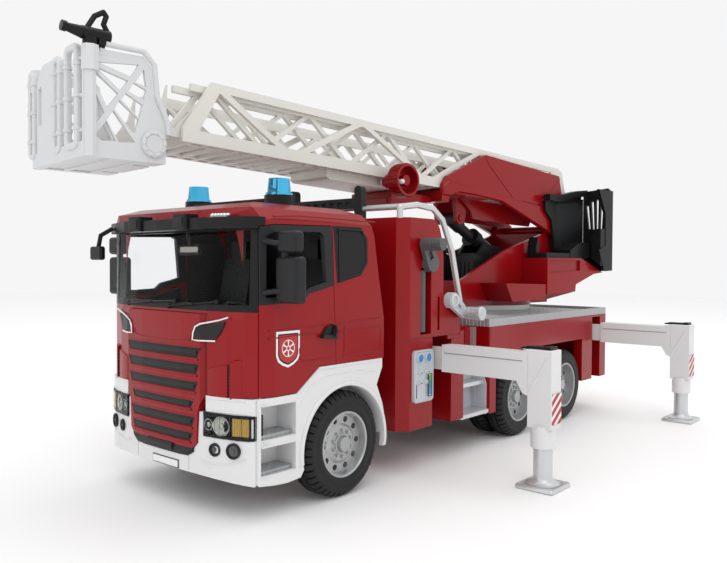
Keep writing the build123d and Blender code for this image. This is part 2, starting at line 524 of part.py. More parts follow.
# Bracket of the raising cylinder, with the drive's block before it and a cross plate.
CHEEK = [(18.6, 165.5), (31.2, 151.7), (28, 146), (28, 111.9), (-20, 111.9), (-17, 151), (-12, 160.5),
         (-4, 163)]
bracket = (side(CHEEK, 10, 13) + side(CHEEK, -13, -10) + box(16, 28, -12, 12, 112, 119)
           + box(-20, -16, -12, 12, 112, 114.4))
bracket += box(28, 44, -14, 20, 112, 153.5) + box(31, 41, -10, 16, 153, 156)
bracket += (box(44, 60, -16, -12, 112, 161) + box(40, 64, -24, -12, 157, 161.5)
            + box(28, 46, -16, -12, 112, 116))
bracket += [drum(RAM_A, s * 10, s * 14.4, RAM_Z, 5.4) for s in (1, -1)]
bracket -= drum(RAM_A, -40, 40, RAM_Z, 3.06)
bracket -= box(-60, 80, -40, 40, 100, 112.05)
keep("ram_bracket", bracket)

# Operator's stand: a slotted back plate with a side cheek, an arm forward at the top, and the seat's tub
# in the pod.
CHEEK_IN = [(-108, 150), (-60, 152), (-57, 171), (-53, 190), (-42, 199), (-42, 214.6), (-58, 214),
            (-91, 220.6), (-108, 220)]
CHEEK_OUT = [(-92.7, 160.6), (-102.7, 139.8), (-119, 140), (-119, 221), (-91.2, 221.1), (-104.4, 197.9),
             (-105.2, 165.7)]
stand = (side(CHEEK_IN, 38.6, 41.0)
         - side([(-110, 158), (-66, 158), (-62, 176), (-62, 206), (-110, 212)], 38, 42))
stand += side([(-42, 208.6), (-42, 214.6), (-58, 214), (-91, 220.8), (-112, 223), (-112, 217), (-91, 214),
               (-60, 208)], 38.6, 46)
stand += side(CHEEK_OUT, 67.5, 70.5)
back = front([(38.6, 150), (70.5, 140), (70.5, 219), (66, 224), (40, 222), (38.6, 219)], -119, -116)
# Slots fan out upwards. Columns: foot, head, foot height, head height.
for y0, y1, z0, z1 in ((46.0, 43.4, 183, 206), (50.4, 49.0, 182.5, 210), (54.6, 54.6, 182.3, 211.5),
                       (58.8, 60.0, 182.5, 210.5), (62.6, 64.6, 183, 205)):
    back -= front([(y0 - 1.2, z0), (y0 + 1.2, z0), (y1 + 1.6, z1), (y1 + 0.8, z1 + 1.6),
                   (y1 - 0.8, z1 + 1.6), (y1 - 1.6, z1)], -121, -110)
stand += back + side([(-116, 150), (-119, 150), (-119, 140), (-108, 139.5)], 40, 70)
tub = box(-60, -19, 36, 57.5, 148, 157) - box(-56, -22, 39, 54.5, 151, 170)
stand += tub + side([(-60, 148), (-60, 160), (-78, 168), (-116, 168), (-116, 156), (-78, 150)], 42, 58)
stand += side([(-19, 148), (-19, 162), (-22, 172), (-24, 163), (-24, 148)], 36, 46)
stand += front([(60, 152), (60, 176), (66, 182), (70, 182), (70, 145)], -112, -96)
keep("control_stand", stand - turret)

# Raising cylinder, as seen with the ladder at its shown angle.
reach = Vector(EYE_A - RAM_A, 0, EYE_Z - RAM_Z)
length = reach.length
n = reach.normalized()


def along(d):
    return (RAM_A + n.X * d, 0, RAM_Z + n.Z * d)


barrel = rod(along(-38), along(36), 8.0) + rod(along(28), along(36), 9.3) + rod(along(-30), along(-24), 8.6)
barrel -= rod(along(-35.9), along(40), 5.05)
barrel += drum(RAM_A, 7, 15.2, RAM_Z, 3.0) + drum(RAM_A, -15.2, -7, RAM_Z, 3.0)
keep("ram_barrel", barrel)
ram = rod(along(-35.4), along(length - 3), 5.0) + rod(along(length - 16), along(length - 2), 6.2)
ram += drum(EYE_A, -9, 9, EYE_Z, 5.6)
keep("ram_rod", ram)


# Ladder, drawn level ahead of the turret's axis: x along, y across.
MOUNT = [(107.5, 196), (106.6, 206), (101.5, 213), (50.1, 238.6), (-70.6, 234.9), (-75.3, 220.4),
         (-84, 192), (-84, 178), (-79, 172.6), (-72, 171), (-52.9, 177.7), (24.4, 199.2), (63.3, 200.8),
         (87.6, 200.6), (97.1, 196.4)]
LOWER = [(107.5, 196), (107, 204), (101, 209), (-76.5, 200), (-84, 190), (-84, 178), (-79, 172.6),
         (-72, 171), (-52.9, 177.7), (24.4, 199.2), (63.3, 200.8), (87.6, 200.6), (97.1, 196.4)]
mount = side(MOUNT, 32.8, 36.4) + side(MOUNT, -36.4, -32.8)
band = extrude(make_face(Polyline(*[(a, 0, w) for a, w in LOWER], close=True)), 1.4, dir=(0, 1, 0),
               taper=35)
mount += left_right(Pos(0, 36.3, 0) * band)
mount += box(98, 107.4, -36, 36, 191, 200.5) + box(-70, -40, -36, 36, 199.5, 202.9)
mount += box(40, 100, -36, 36, 199.5, 202.9)
mount += drum(PIVOT_A, -36, 36, PIVOT_Z, 4.0)
mount += [drum(PIVOT_A, s * 35, s * 37.8, PIVOT_Z, 6.5) for s in (1, -1)]


def level_to_shown(shape):
    return Pos(PIVOT_A, 0, PIVOT_Z) * Rot(0, -ELEVATION, 0) * Pos(-PIVOT_A, 0, -PIVOT_Z) * shape


def shown_to_level(a, z):
    e = radians(ELEVATION)
    da, dz = a - PIVOT_A, z - PIVOT_Z
    return PIVOT_A + da * cos(e) + dz * sin(e), PIVOT_Z - da * sin(e) + dz * cos(e)


# The cylinder's eye runs between two lugs, each with its half of the pin.
eye_u, eye_w = shown_to_level(EYE_A, EYE_Z)
for s in (1, -1):
    lug = [(eye_u - 9, 201), (eye_u - 5.5, eye_w - 3), (eye_u - 3, eye_w - 5.5), (eye_u + 3, eye_w - 5.5),
           (eye_u + 5.5, eye_w - 3), (eye_u + 9, 201)]
    mount += side(lug, 11.6 * s - 2, 11.6 * s + 2) + drum(eye_u, 13 * s - 1.5, 13 * s + 1.5, eye_w, 3.4)
keep("ladder_mount", mount)


def truss(half, bar, low, high, ends, nodes, rail_low, rail_high, strip):
    """Both sides of a ladder section: rails along, and flat bars zigzagging between them."""
    rear, fore, fore_top = ends
    s = side([(rear, low), (fore, low), (fore, low + rail_low), (rear, low + rail_low)], half - bar, half)
    s += side([(rear, high - rail_high), (fore_top, high - rail_high), (fore_top, high), (rear, high)],
              half - bar, half)
    for (a, up_a), (b, up_b) in zip(nodes, nodes[1:]):
        za, zb = (high - 2 if up_a else low + 2), (high - 2 if up_b else low + 2)
        s += side([(a - strip / 2, za), (a + strip / 2, za), (b + strip / 2, zb), (b - strip / 2, zb)],
                  half - bar, half)
    return s


def rungs(first, last, step, wide, low, high, thick):
    """Flat rungs across the section."""
    count = int((last - first) / step) + 1
    return [box(first + i * step - thick, first + i * step + thick, -wide, wide, low, high)
            for i in range(count)]


# Sections. Nodes are (place along, top or bottom).
BASE_NODES = [(345, 0), (326, 1), (263, 0), (198, 1), (120, 0), (52, 1), (-26, 0), (-72, 1)]
base = truss(32, 3, 202.9, 243.6, ((-76, 349, 327)), BASE_NODES, 8.1, 5.4, 8.5)
base += side([(349, 203), (349, 211), (330, 243.6), (322, 243.6), (338, 211), (338, 203)], 29, 32)
base += side([(-73, 243.6), (-82, 241), (-89.2, 221), (-84, 203), (-70, 203), (-70, 243.6)], 29, 32)
base += mirror(base, Plane.XZ)
base += rungs(-66, 342, 12, 30, 202.9, 205.0, 2.2)
base += (side([(-84, 203), (-89.2, 221), (-82, 241), (-79, 241), (-86, 221), (-81, 203)], -32, 32)
         - box(-95, -70, -26, 26, 209, 238))
base += side([(131, 197.5), (135, 196), (222, 196), (225, 197.5), (225, 203.2), (131, 203.2)], -20, 24)
base += (side([(-60, 203), (340, 203), (340, 204.4), (-60, 204.4)], -24, -20)
         + side([(-60, 203), (340, 203), (340, 204.4), (-60, 204.4)], 20, 24))
base -= drum(168, 10, 40, 199.7, 2.26)
keep("ladder_base", base)
winch = drum(168, 14, 45, 199.7, 2.2) + drum(168, 43, 54, 199.7, 12.4) - drum(168, 46, 60, 199.7, 10.6)
winch += drum(168, 44, 52, 199.7, 4) + drum(168, 33.4, 43.5, 199.7, 6.5)
keep("winch_wheel", winch)

MID_NODES = [(352, 0), (326, 1), (286, 0), (246, 1), (206, 0), (166, 1), (126, 0), (86, 1), (46, 0), (6, 1),
             (-24, 0)]
mid = truss(27.6, 3, 205.6, 241.2, (-30, 356, 342), MID_NODES, 5.5, 4.6, 5)
mid += mirror(mid, Plane.XZ)
mid += rungs(-24, 352, 10.4, 26, 205.6, 207.4, 1.8)
keep("ladder_middle", mid)

# The innermost section ends in a pair of arms that carry the basket's cross shaft.
TIP_NODES = [(354, 0), (334, 1), (300, 0), (266, 1), (232, 0), (198, 1), (164, 0), (130, 1), (96, 0),
             (62, 1), (28, 0), (0, 1)]
BOSS_A, BOSS_Z = 371.4, 215.5
boss_u, boss_w = shown_to_level(BOSS_A, BOSS_Z)
tip = truss(23.2, 3, 208.0, 238.6, (-10, 356, 352), TIP_NODES, 5, 4.2, 4.4)
tip += mirror(tip, Plane.XZ)
tip += rungs(-4, 350, 10.4, 22, 208.0, 209.8, 1.7)
ARM = [(356.1, 208), (boss_u + 4, boss_w - 6), (boss_u + 6, boss_w), (boss_u + 2, boss_w + 5), (360, 222),
       (356.1, 238)]
arms = drum(boss_u, -38.8, 38.8, boss_w, 3.0)
for s in (1, -1):
    arms += side(ARM, 21.7 * s - 1.5, 21.7 * s + 1.5)
keep("ladder_tip", tip, arms)

# Rescue basket, drawn level. The web's openings fan out from its front top corner.
SIDE = [(363.4, 204.5), (413, 204.5), (413, 260), (405.8, 262), (402.9, 265.1), (377.6, 265.8),
        (372.8, 260.8), (371.2, 243.2), (364.6, 229.1), (363.4, 225.4)]
WEB = (((404.9, 257.6), (380.4, 260.5), (385.1, 252.7)), ((406.2, 254.9), (387.1, 250.1), (391.5, 243.6)),
       ((408.4, 253.4), (392.9, 241.9), (399.3, 233.0), (409.4, 251.1)),
       ((410.5, 249.2), (401.1, 229.8), (408.5, 219.6), (411.0, 224.2)),
       ((377.2, 258.5), (375.7, 248.4), (382.4, 250.2)),
       ((383.6, 249.6), (375.7, 246.6), (377.3, 240.7), (386.7, 244.0)),
       ((388.6, 242.9), (378.1, 237.7), (380.1, 229.6), (391.0, 238.6)),
       ((392.5, 238.3), (380.5, 228.8), (382.9, 220.7), (384.4, 220.9), (395.2, 232.5)),
       ((395.9, 232.0), (382.9, 215.2), (392.6, 214.1), (399.7, 225.8)),
       ((400.0, 225.4), (394.5, 214.6), (403.0, 213.9), (406.7, 217.0)))
web = side(SIDE, 37.6, 40)
web -= [side(list(hole), 36, 42) for hole in WEB]
# Handrail along the web's top and rear edge, and the eight-sided corner post.
web += pipe([(403.5, 40.4, 268.4), (377.6, 40.4, 268.6), (371, 40.4, 262.2), (369.2, 40.4, 243.8),
             (362.6, 40.4, 229.6), (361.8, 40.4, 222)], 1.7)
web += side([(399, 262), (402, 268.4), (404, 268.4), (403, 262)], 38.6, 40.2)
corner = (Pos(409.2, 39.6, 204.5) * extrude(RegularPolygon(3.6, 8), 58)
          + Pos(409.2, 39.6, 252) * extrude(RegularPolygon(5.0, 8), 14))
web += corner + drum(BOSS_A, 37, 41.0, BOSS_Z, 8.0) + drum(BOSS_A, 37, 41.8, BOSS_Z, 5.2)
basket = box(363.4, 413, -40, 40, 204.5, 207.5) + left_right(web) + box(411, 413, -40, 40, 204.5, 213)
basket += box(363.4, 365.4, -40, 40, 204.5, 210) + box(378, 406, -30, 30, 207, 208.2)
gate = front([(-32, 212), (-5, 212), (-5, 266), (-22, 266), (-32, 257)], 411, 413)
basket += gate - front([(-29.5, 230), (-24, 230), (-24, 254), (-29.5, 252)], 400, 420)
# Front tube loops. Columns: near edge, far edge, top, radius.
for y0, y1, top, r in ((-44, -36.6, 264, 1.6), (-3, 5.4, 265, 1.8), (16.4, 31, 267, 2.0)):
    wide, high, corner_r = y1 - y0, top - 211.5, min(3.4, (y1 - y0) / 2)
    ring = RectangleRounded(wide + 2 * r, high + 2 * r, corner_r + r - 0.1)
    ring -= RectangleRounded(wide - 2 * r, high - 2 * r, max(corner_r - r, 0.4))
    middle = Plane(origin=(412.6 - r, (y0 + y1) / 2, 211.5 + high / 2), x_dir=(0, 1, 0), z_dir=(1, 0, 0))
    tube = extrude(middle * ring, 2 * r)
    basket += fillet(tube.edges(), 0.7 * r)
    for y in (y0, y1):
        basket += [post(412.6, y, z - 1, z + 1, r + 0.7) for z in (221, 239, 257)]
basket += [rod((412.6, 31, z), (409.2, 39.6, z), 1.2) for z in (219.5, 239, 259.5)]
basket -= drum(BOSS_A, -39.0, 39.0, BOSS_Z, 3.06)
basket -= [box(360, 375.4, 19, 25, 200, 214), box(360, 375.4, -25, -19, 200, 214)]
basket -= [box(379, 392, -34, 34, 203, 205.3), box(396, 408, -34, 34, 203, 205.3)]
keep("basket", basket)
monitor = post(409.2, 39.6, 266.05, 270.5, 4.0) + rod((398, 39.6, 272.4), (414, 39.6, 272.4), 3.6)
monitor += Plane(origin=(414, 39.6, 272.4), z_dir=(1, 0, 0.12)) * Cone(3.4, 2.2, 9,
                                                                       align=(Align.CENTER, Align.CENTER,
                                                                              Align.MIN))
monitor += (rod((422.4, 39.6, 273.4), (425, 39.6, 273.7), 2.9)
            + rod((401, 39.6, 268.5), (405, 39.6, 268.9), 3.0))
monitor += pipe([(411, 39.6, 275), (406.5, 39.6, 282.6), (401.4, 39.6, 285.9), (399.8, 39.6, 283.8),
                 (401.4, 39.6, 279), (399.4, 39.6, 275.6), (403, 39.6, 273.8)], 1.5)
keep("basket_monitor", monitor - basket)


def to_world(shape):
    return Pos(TURN_X, 0, 0) * Rot(0, 0, TURN_YAW) * shape


for name in ("turret_body", "ram_bracket", "control_stand", "ram_barrel", "ram_rod", "basket",
             "basket_monitor"):
    NODES[name] = [to_world(s) for s in NODES[name]]
for name in ("ladder_mount", "ladder_base", "winch_wheel", "ladder_middle", "ladder_tip"):
    NODES[name] = [to_world(level_to_shown(s)) for s in NODES[name]]

os.makedirs("parts", exist_ok=True)
for name, shapes in NODES.items():
    solids = []
    for shape in shapes:
        solids += (Pos(FRAME_X, 0, 0) * shape).solids()
    export_step(Compound(children=solids), "parts/" + name + ".step")
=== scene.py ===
import bpy
import bmesh
import json
from math import atan2, cos, pi, radians, sin, sqrt
from mathutils import Matrix, Vector


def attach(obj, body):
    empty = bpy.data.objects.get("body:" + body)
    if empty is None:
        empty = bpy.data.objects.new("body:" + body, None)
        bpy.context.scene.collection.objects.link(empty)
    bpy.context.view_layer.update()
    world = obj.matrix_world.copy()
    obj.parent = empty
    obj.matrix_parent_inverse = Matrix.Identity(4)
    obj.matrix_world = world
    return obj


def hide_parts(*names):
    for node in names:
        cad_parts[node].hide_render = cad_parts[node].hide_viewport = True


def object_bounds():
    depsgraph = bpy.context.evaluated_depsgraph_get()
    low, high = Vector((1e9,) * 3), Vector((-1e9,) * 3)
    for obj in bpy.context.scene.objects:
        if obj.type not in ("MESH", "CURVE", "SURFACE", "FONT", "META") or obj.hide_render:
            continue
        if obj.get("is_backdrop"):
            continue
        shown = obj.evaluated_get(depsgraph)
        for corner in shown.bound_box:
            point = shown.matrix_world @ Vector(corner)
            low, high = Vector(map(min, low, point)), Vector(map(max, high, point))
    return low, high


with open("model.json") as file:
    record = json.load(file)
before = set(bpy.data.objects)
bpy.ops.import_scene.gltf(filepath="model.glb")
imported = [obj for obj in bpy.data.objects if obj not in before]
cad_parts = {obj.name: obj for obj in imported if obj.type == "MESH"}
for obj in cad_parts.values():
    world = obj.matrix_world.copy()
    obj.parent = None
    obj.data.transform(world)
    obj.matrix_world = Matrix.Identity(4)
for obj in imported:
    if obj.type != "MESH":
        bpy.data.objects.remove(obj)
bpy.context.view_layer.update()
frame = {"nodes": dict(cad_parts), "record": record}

# Toy turntable ladder fire engine, 1:16. Places are in millimetres from the ground point under the front
# axle, as in the part's source: X forward, Y left, Z up. Each section makes the pieces of one sub-part.
MM = 0.001
FRAME_X = 131.87
SIDES = ((1, "left"), (-1, "right"))
UP = (0, 0, 1)
# The turret's axis and turn, and the ladder's pivot and slope.
TURN_X, TURN_YAW = -285.0, radians(-6)
PIVOT_A, PIVOT_Z, ELEVATION = -72.0, 181.0, radians(2.5)


def at(x, y, z):
    return Vector(((x + FRAME_X) * MM, y * MM, z * MM))


def on_turret(a, y, z):
    """From the turret's own axes, ladder straight ahead."""
    return at(TURN_X + a * cos(TURN_YAW) - y * sin(TURN_YAW), a * sin(TURN_YAW) + y * cos(TURN_YAW), z)


def on_ladder(u, y, w):
    """From the ladder drawn level."""
    du, dw = u - PIVOT_A, w - PIVOT_Z
    return on_turret(PIVOT_A + du * cos(ELEVATION) - dw * sin(ELEVATION), y,
                     PIVOT_Z + du * sin(ELEVATION) + dw * cos(ELEVATION))


# Materials. BROAD is the scale of the slow variation in colour and roughness, in waves per metre.
BROAD = 14.0
GRAIN_DEPTH, STUD_DEPTH = 0.0002, 0.0006
LEAST_ROUGH, COAT_ROUGH = 0.02, 0.08


def noise(tree, where, scale, detail):
    node = tree.nodes.new("ShaderNodeTexNoise")
    node.inputs["Scale"].default_value = scale
    node.inputs["Detail"].default_value = detail
    tree.links.new(where.outputs["Object"], node.inputs["Vector"])
    return node


def relief(tree, height, strength, depth):
    """Makes a height into the shader's normal."""
    bump = tree.nodes.new("ShaderNodeBump")
    bump.inputs["Strength"].default_value = strength
    bump.inputs["Distance"].default_value = depth
    tree.links.new(height, bump.inputs["Height"])
    tree.links.new(bump.outputs["Normal"], tree.nodes["Principled BSDF"].inputs["Normal"])


def material(name, colour, rough, grain=0.0, scale=400.0, metal=0.0, tint=0.06, coat=0.0, wear=0.03, ior=1.46,
             clear=0.0):
    """A principled shader that varies finely: by tint in colour, wear in roughness, grain in surface."""
    m = bpy.data.materials.new(name)
    m.use_nodes = True
    tree = m.node_tree
    shader = tree.nodes["Principled BSDF"]
    shader.inputs["Metallic"].default_value = metal
    shader.inputs["IOR"].default_value = ior
    shader.inputs["Transmission Weight"].default_value = clear
    shader.inputs["Coat Weight"].default_value = coat
    shader.inputs["Coat Roughness"].default_value = COAT_ROUGH
    where = tree.nodes.new("ShaderNodeTexCoord")
    broad = noise(tree, where, BROAD, 4.0)
    mix = tree.nodes.new("ShaderNodeMix")
    mix.data_type = "RGBA"
    for socket, share in (("A", 1 - tint), ("B", 1 + tint)):
        mix.inputs[socket].default_value = (*(min(1.0, c * share) for c in colour), 1)
    tree.links.new(broad.outputs["Fac"], mix.inputs["Factor"])
    tree.links.new(mix.outputs["Result"], shader.inputs["Base Color"])
    spread = tree.nodes.new("ShaderNodeMapRange")
    spread.inputs["To Min"].default_value = max(LEAST_ROUGH, rough - wear)
    spread.inputs["To Max"].default_value = rough + wear
    tree.links.new(broad.outputs["Fac"], spread.inputs["Value"])
    tree.links.new(spread.outputs["Result"], shader.inputs["Roughness"])
    if grain:
        relief(tree, noise(tree, where, scale, 3.0).outputs["Fac"], grain, GRAIN_DEPTH)
    return m


def studded(m, pitch, strength):
    """Gives the surfaces that face up a pattern of small round studs, with the pitch in metres."""
    tree = m.node_tree
    where = tree.nodes.new("ShaderNodeTexCoord")
    turn = tree.nodes.new("ShaderNodeMapping")
    turn.inputs["Rotation"].default_value = (0, 0, radians(45))
    turn.inputs["Scale"].default_value = (1 / pitch, 1 / pitch, 0.0)
    tree.links.new(where.outputs["Object"], turn.inputs["Vector"])
    studs = tree.nodes.new("ShaderNodeTexVoronoi")
    studs.inputs["Scale"].default_value = 1.0
    studs.inputs["Randomness"].default_value = 0.0
    tree.links.new(turn.outputs["Vector"], studs.inputs["Vector"])
    tops = tree.nodes.new("ShaderNodeMapRange")
    for socket, value in (("From Min", 0.22), ("From Max", 0.36), ("To Min", 1.0), ("To Max", 0.0)):
        tops.inputs[socket].default_value = value
    tree.links.new(studs.outputs["Distance"], tops.inputs["Value"])
    relief(tree, tops.outputs["Result"], strength, STUD_DEPTH)
    return m


RED = material("red plastic", (0.27, 0.0028, 0.0052), 0.24, 0.05, 700, coat=0.08, tint=0.08, ior=1.32)
WHITE = material("white plastic", (0.71, 0.71, 0.715), 0.36, 0.06, 800, tint=0.02)
LADDER_WHITE = material("ladder white", (0.70, 0.69, 0.645), 0.42, 0.06, 800, tint=0.02)
BASKET_WHITE = material("basket white", (0.63, 0.64, 0.65), 0.36, 0.06, 800, tint=0.02)
BLACK = material("black plastic", (0.008, 0.008, 0.009), 0.34, 0.12, 900, ior=1.3)
DARK = material("dark grey plastic", (0.014, 0.0145, 0.016), 0.42, 0.2, 1200, ior=1.34)
SILVER = material("silver plastic", (0.62, 0.63, 0.64), 0.34, 0.05, 1000, metal=0.55, tint=0.09)
RIM_SILVER = material("rim silver", (0.43, 0.435, 0.44), 0.30, 0.05, 1000, metal=0.7, tint=0.06)
RUBBER = material("tyre rubber", (0.012, 0.012, 0.0125), 0.55, 0.35, 900, ior=1.36)
STEEL = material("steel", (0.5, 0.5, 0.5), 0.3, 0.05, 600, metal=1.0)
PANEL = material("panel grey", (0.50, 0.53, 0.56), 0.34, 0.1, 900, coat=0.3)
TREAD = studded(material("tread plate", (0.42, 0.43, 0.44), 0.36, metal=0.5), 0.0024, 0.9)
CRANK_GREY = material("crank grey", (0.085, 0.087, 0.09), 0.4, 0.12, 900)
SEAM = material("seam grey", (0.30, 0.31, 0.32), 0.5, 0.1)
GREEN = material("green print", (0.10, 0.32, 0.08), 0.4)
TEAL = material("slot teal", (0.02, 0.22, 0.24), 0.3)
SKY = material("dial blue", (0.035, 0.22, 0.50), 0.28, 0.05, 600, coat=0.5)
AMBER = material("amber lens", (0.50, 0.30, 0.04), 0.2, 0.1, 700, coat=0.4)
PRINT_RED = material("printed red", (0.42, 0.02, 0.02), 0.42, 0.04, 500)
PRINT_WHITE = material("printed white", (0.80, 0.80, 0.79), 0.42, 0.04, 500, tint=0.02)
CHROME = material("bright silver", (0.80, 0.81, 0.82), 0.18, 0.03, 900, metal=0.9, tint=0.03)
BOWL = material("lamp bowl", (0.42, 0.43, 0.38), 0.16, 0.03, 900, metal=0.85, tint=0.06)
MIRROR = material("mirror face", (0.78, 0.80, 0.82), 0.06, metal=1.0, tint=0.03, wear=0.02)
ROOM_MIRROR = material("mirror dull", (0.42, 0.38, 0.34), 0.2, metal=0.8)
GLASS = material("clear plastic", (0.93, 0.95, 0.96), 0.04, tint=0.01, wear=0.02, ior=1.1, clear=1.0)
BLUE = material("blue lens", (0.06, 0.55, 0.90), 0.05, tint=0.1, clear=0.85)
LAMP = material("lamp lens", (0.50, 0.51, 0.48), 0.12, 0.3, 500, tint=0.1, clear=0.3)

# Each slot's materials, its own first. Then the nodes of the source that have a material of their own.
SLOTS = {"red": (RED, PRINT_RED), "white": (WHITE, BASKET_WHITE, PRINT_WHITE, SEAM), "black": (BLACK,),
         "dark_grey": (DARK,), "silver": (SILVER, RIM_SILVER, CHROME, BOWL, MIRROR, ROOM_MIRROR),
         "tyre": (RUBBER,), "steel": (STEEL,), "clear": (GLASS,), "blue_lens": (BLUE, SKY),
         "lamp_clear": (LAMP, AMBER, CRANK_GREY), "panel_grey": (PANEL, GREEN, TEAL)}
BY_NODE = {"ladder_base": LADDER_WHITE, "ladder_middle": LADDER_WHITE, "ladder_tip": LADDER_WHITE,
           "basket": BASKET_WHITE, "deck": TREAD, "step_treads": TREAD, "upper_cranks": CRANK_GREY}

node_slots = {part["node"]: part["material_slot"] for part in frame["record"]["subparts"]}
for name, node in frame["nodes"].items():
    paint = RIM_SILVER if name.startswith("rim_") else BY_NODE.get(name, SLOTS[node_slots[name]][0])
    node.data.materials.clear()
    node.data.materials.append(paint)


def added(name, data):
    o = bpy.data.objects.new(name, data)
    bpy.context.scene.collection.objects.link(o)
    return o


def pairs(items):
    return list(zip(items, items[1:]))


def orbit(x, y, z, r, turn):
    """A point on an upright circle, seen from the side."""
    return x + r * cos(turn), y, z + r * sin(turn)


def ring_round(centre, u, v, r, sides):
    """Points on a circle in the plane of u and v."""
    turns = [2 * pi * i / sides for i in range(sides)]
    return [tuple(centre + u * (r * cos(turn)) + v * (r * sin(turn))) for turn in turns]


class Piece:
    """Collects simple forms, given in millimetres, into one mesh that rides on a body."""
    POINT_R = 0.02

    def __init__(self, name, place=at):
        self.name, self.place, self.bm = name, place, bmesh.new()

    def face(self, ring):
        try:
            self.bm.faces.new(ring)
        except ValueError:
            pass

    def solid(self, rings, closed=False):
        """Joins equal rings of points into one body, with caps unless it is closed."""
        rows = [[self.bm.verts.new(self.place(*p)) for p in ring] for ring in rings]
        for a, b in pairs(rows + rows[:1] if closed else rows):
            for i in range(len(a)):
                j = (i + 1) % len(a)
                self.face((a[i], a[j], b[j], b[i]))
        if not closed:
            self.face(list(reversed(rows[0])))
            self.face(rows[-1])

    def side(self, points, y0, y1):
        self.solid([[(x, y, z) for x, z in points] for y in (y0, y1)])

    def front(self, points, x0, x1):
        self.solid([[(x, y, z) for y, z in points] for x in (x0, x1)])

    def plan(self, points, z0, z1):
        self.solid([[(x, y, z) for x, y in points] for z in (z0, z1)])

    def box(self, x0, x1, y0, y1, z0, z1):
        self.plan([(x0, y0), (x1, y0), (x1, y1), (x0, y1)], z0, z1)

    def block(self, s, x0, x1, y0, y1, z0, z1):
        """A box on side s, its y given as distances from the middle."""
        near, far = sorted((s * y0, s * y1))
        self.box(x0, x1, near, far, z0, z1)

    def turned(self, origin, axis, profile, sides=32, closed=False):
        """A profile of (radius, along) turned about an axis, its ends capped or the profile itself closed."""
        o, n = Vector(origin), Vector(axis).normalized()
        u = n.orthogonal().normalized()
        v = n.cross(u)
        self.solid([ring_round(o + n * d, u, v, max(r, self.POINT_R), sides) for r, d in profile], closed)

    def tube(self, points, r, sides=12, closed=False):
        pts = [Vector(p) for p in points]
        n = len(pts)
        rings, u = [], None
        for i, p in enumerate(pts):
            before = pts[i - 1] if i or closed else None
            after = pts[(i + 1) % n] if i < n - 1 or closed else None
            d0 = (p - before).normalized() if before is not None else None
            d1 = (after - p).normalized() if after is not None else None
            d = ((d0 or d1) + (d1 or d0)).normalized()
            u = (u - d * u.dot(d)).normalized() if u is not None else d.orthogonal().normalized()
            rings.append(ring_round(p, u, d.cross(u), r, sides))
        self.solid(rings, closed)

    def creases(self, s, rows):
        """Thin rounded ridges on side s. Rows: radius, then points with y as distance from the middle."""
        for r, points in rows:
            self.tube([(x, s * y, z) for x, y, z in points], r, 8)

    def done(self, paint, body="truck", edge=0, angle=30, replaces=()):
        """Makes the object: edge is its bevel's width, and angle where its shading turns sharp."""
        bmesh.ops.recalc_face_normals(self.bm, faces=self.bm.faces)
        mesh = bpy.data.meshes.new(self.name)
        self.bm.to_mesh(mesh)
        self.bm.free()
        mesh.shade_smooth()
        mesh.set_sharp_from_angle(angle=radians(angle))
        mesh.materials.append(paint)
        o = added(self.name, mesh)
        if edge:
            bevel = o.modifiers.new("edge", "BEVEL")
            bevel.width = edge * MM
            bevel.segments = 2
            bevel.limit_method = "ANGLE"
            bevel.angle_limit = radians(35)
        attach(o, body)
        if replaces:
            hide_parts(*replaces)


# Wheels. Tyre and twin widths, and the front and rear rims' depth from the face to the dish.
TYRE_R, WHEEL_FACE_Y = 33.0, 75.6
TYRE_W, TWIN_W, TWIN_GAP = 20.0, 17.5, 2.6
FRONT_DISH, REAR_DISH = 5.0, 8.0
NUTS, NUT_CIRCLE_R, VALVE_CIRCLE_R, VALVE_TURN = 10, 8.2, 14.0, 0.2
WHEELS = (("front_left", 0.0, 1), ("front_right", 0.0, -1), ("middle_left", -220.6, 1),
          ("middle_right", -220.6, -1), ("rear_left", -306.9, 1), ("rear_right", -306.9, -1))
# A tyre's outline from bead to tread, as (radius, depth from the face), at a block and between two blocks.
WALL = [(20.5, 0.7), (21.6, 0.2), (24.0, 0.0), (24.6, 0.25), (27.4, 0.3), (28.0, 0.1)]
BLOCK = WALL + [(29.4, 0.6), (30.8, 1.3), (32.0, 2.5), (32.7, 3.8), (33.0, 5.0)]
NOTCH = WALL + [(29.4, 0.7), (29.9, 2.6), (30.9, 3.6), (31.5, 4.4), (32.0, 5.4)]
BLOCKS_ROUND = 42
BLOCK_STEPS = ((0.0, BLOCK), (0.42, BLOCK), (0.46, NOTCH), (0.62, NOTCH), (0.66, BLOCK), (0.94, BLOCK))


def tread(name, x, s, faces, width):
    """A tyre behind each outer face, with blocks round its shoulders and two grooves round its tread."""
    piece = Piece("tread_" + name)
    mid = width * 0.36
    groove = [(33.0, mid - 0.6), (31.9, mid - 0.4), (31.9, mid + 0.4), (33.0, mid + 0.6)]
    for y_out in faces:
        rings = []
        for k in range(BLOCKS_ROUND):
            for share, shoulder in BLOCK_STEPS:
                turn = 2 * pi * (k + share) / BLOCKS_ROUND
                half = shoulder + groove
                row = half + [(r, width - t) for r, t in reversed(half)]
                rings.append([orbit(x, s * (y_out - t), TYRE_R, r, turn) for r, t in row])
        piece.solid(rings, closed=True)
    piece.done(RUBBER, "wheel_" + name, angle=40, replaces=("tyre_" + name,))


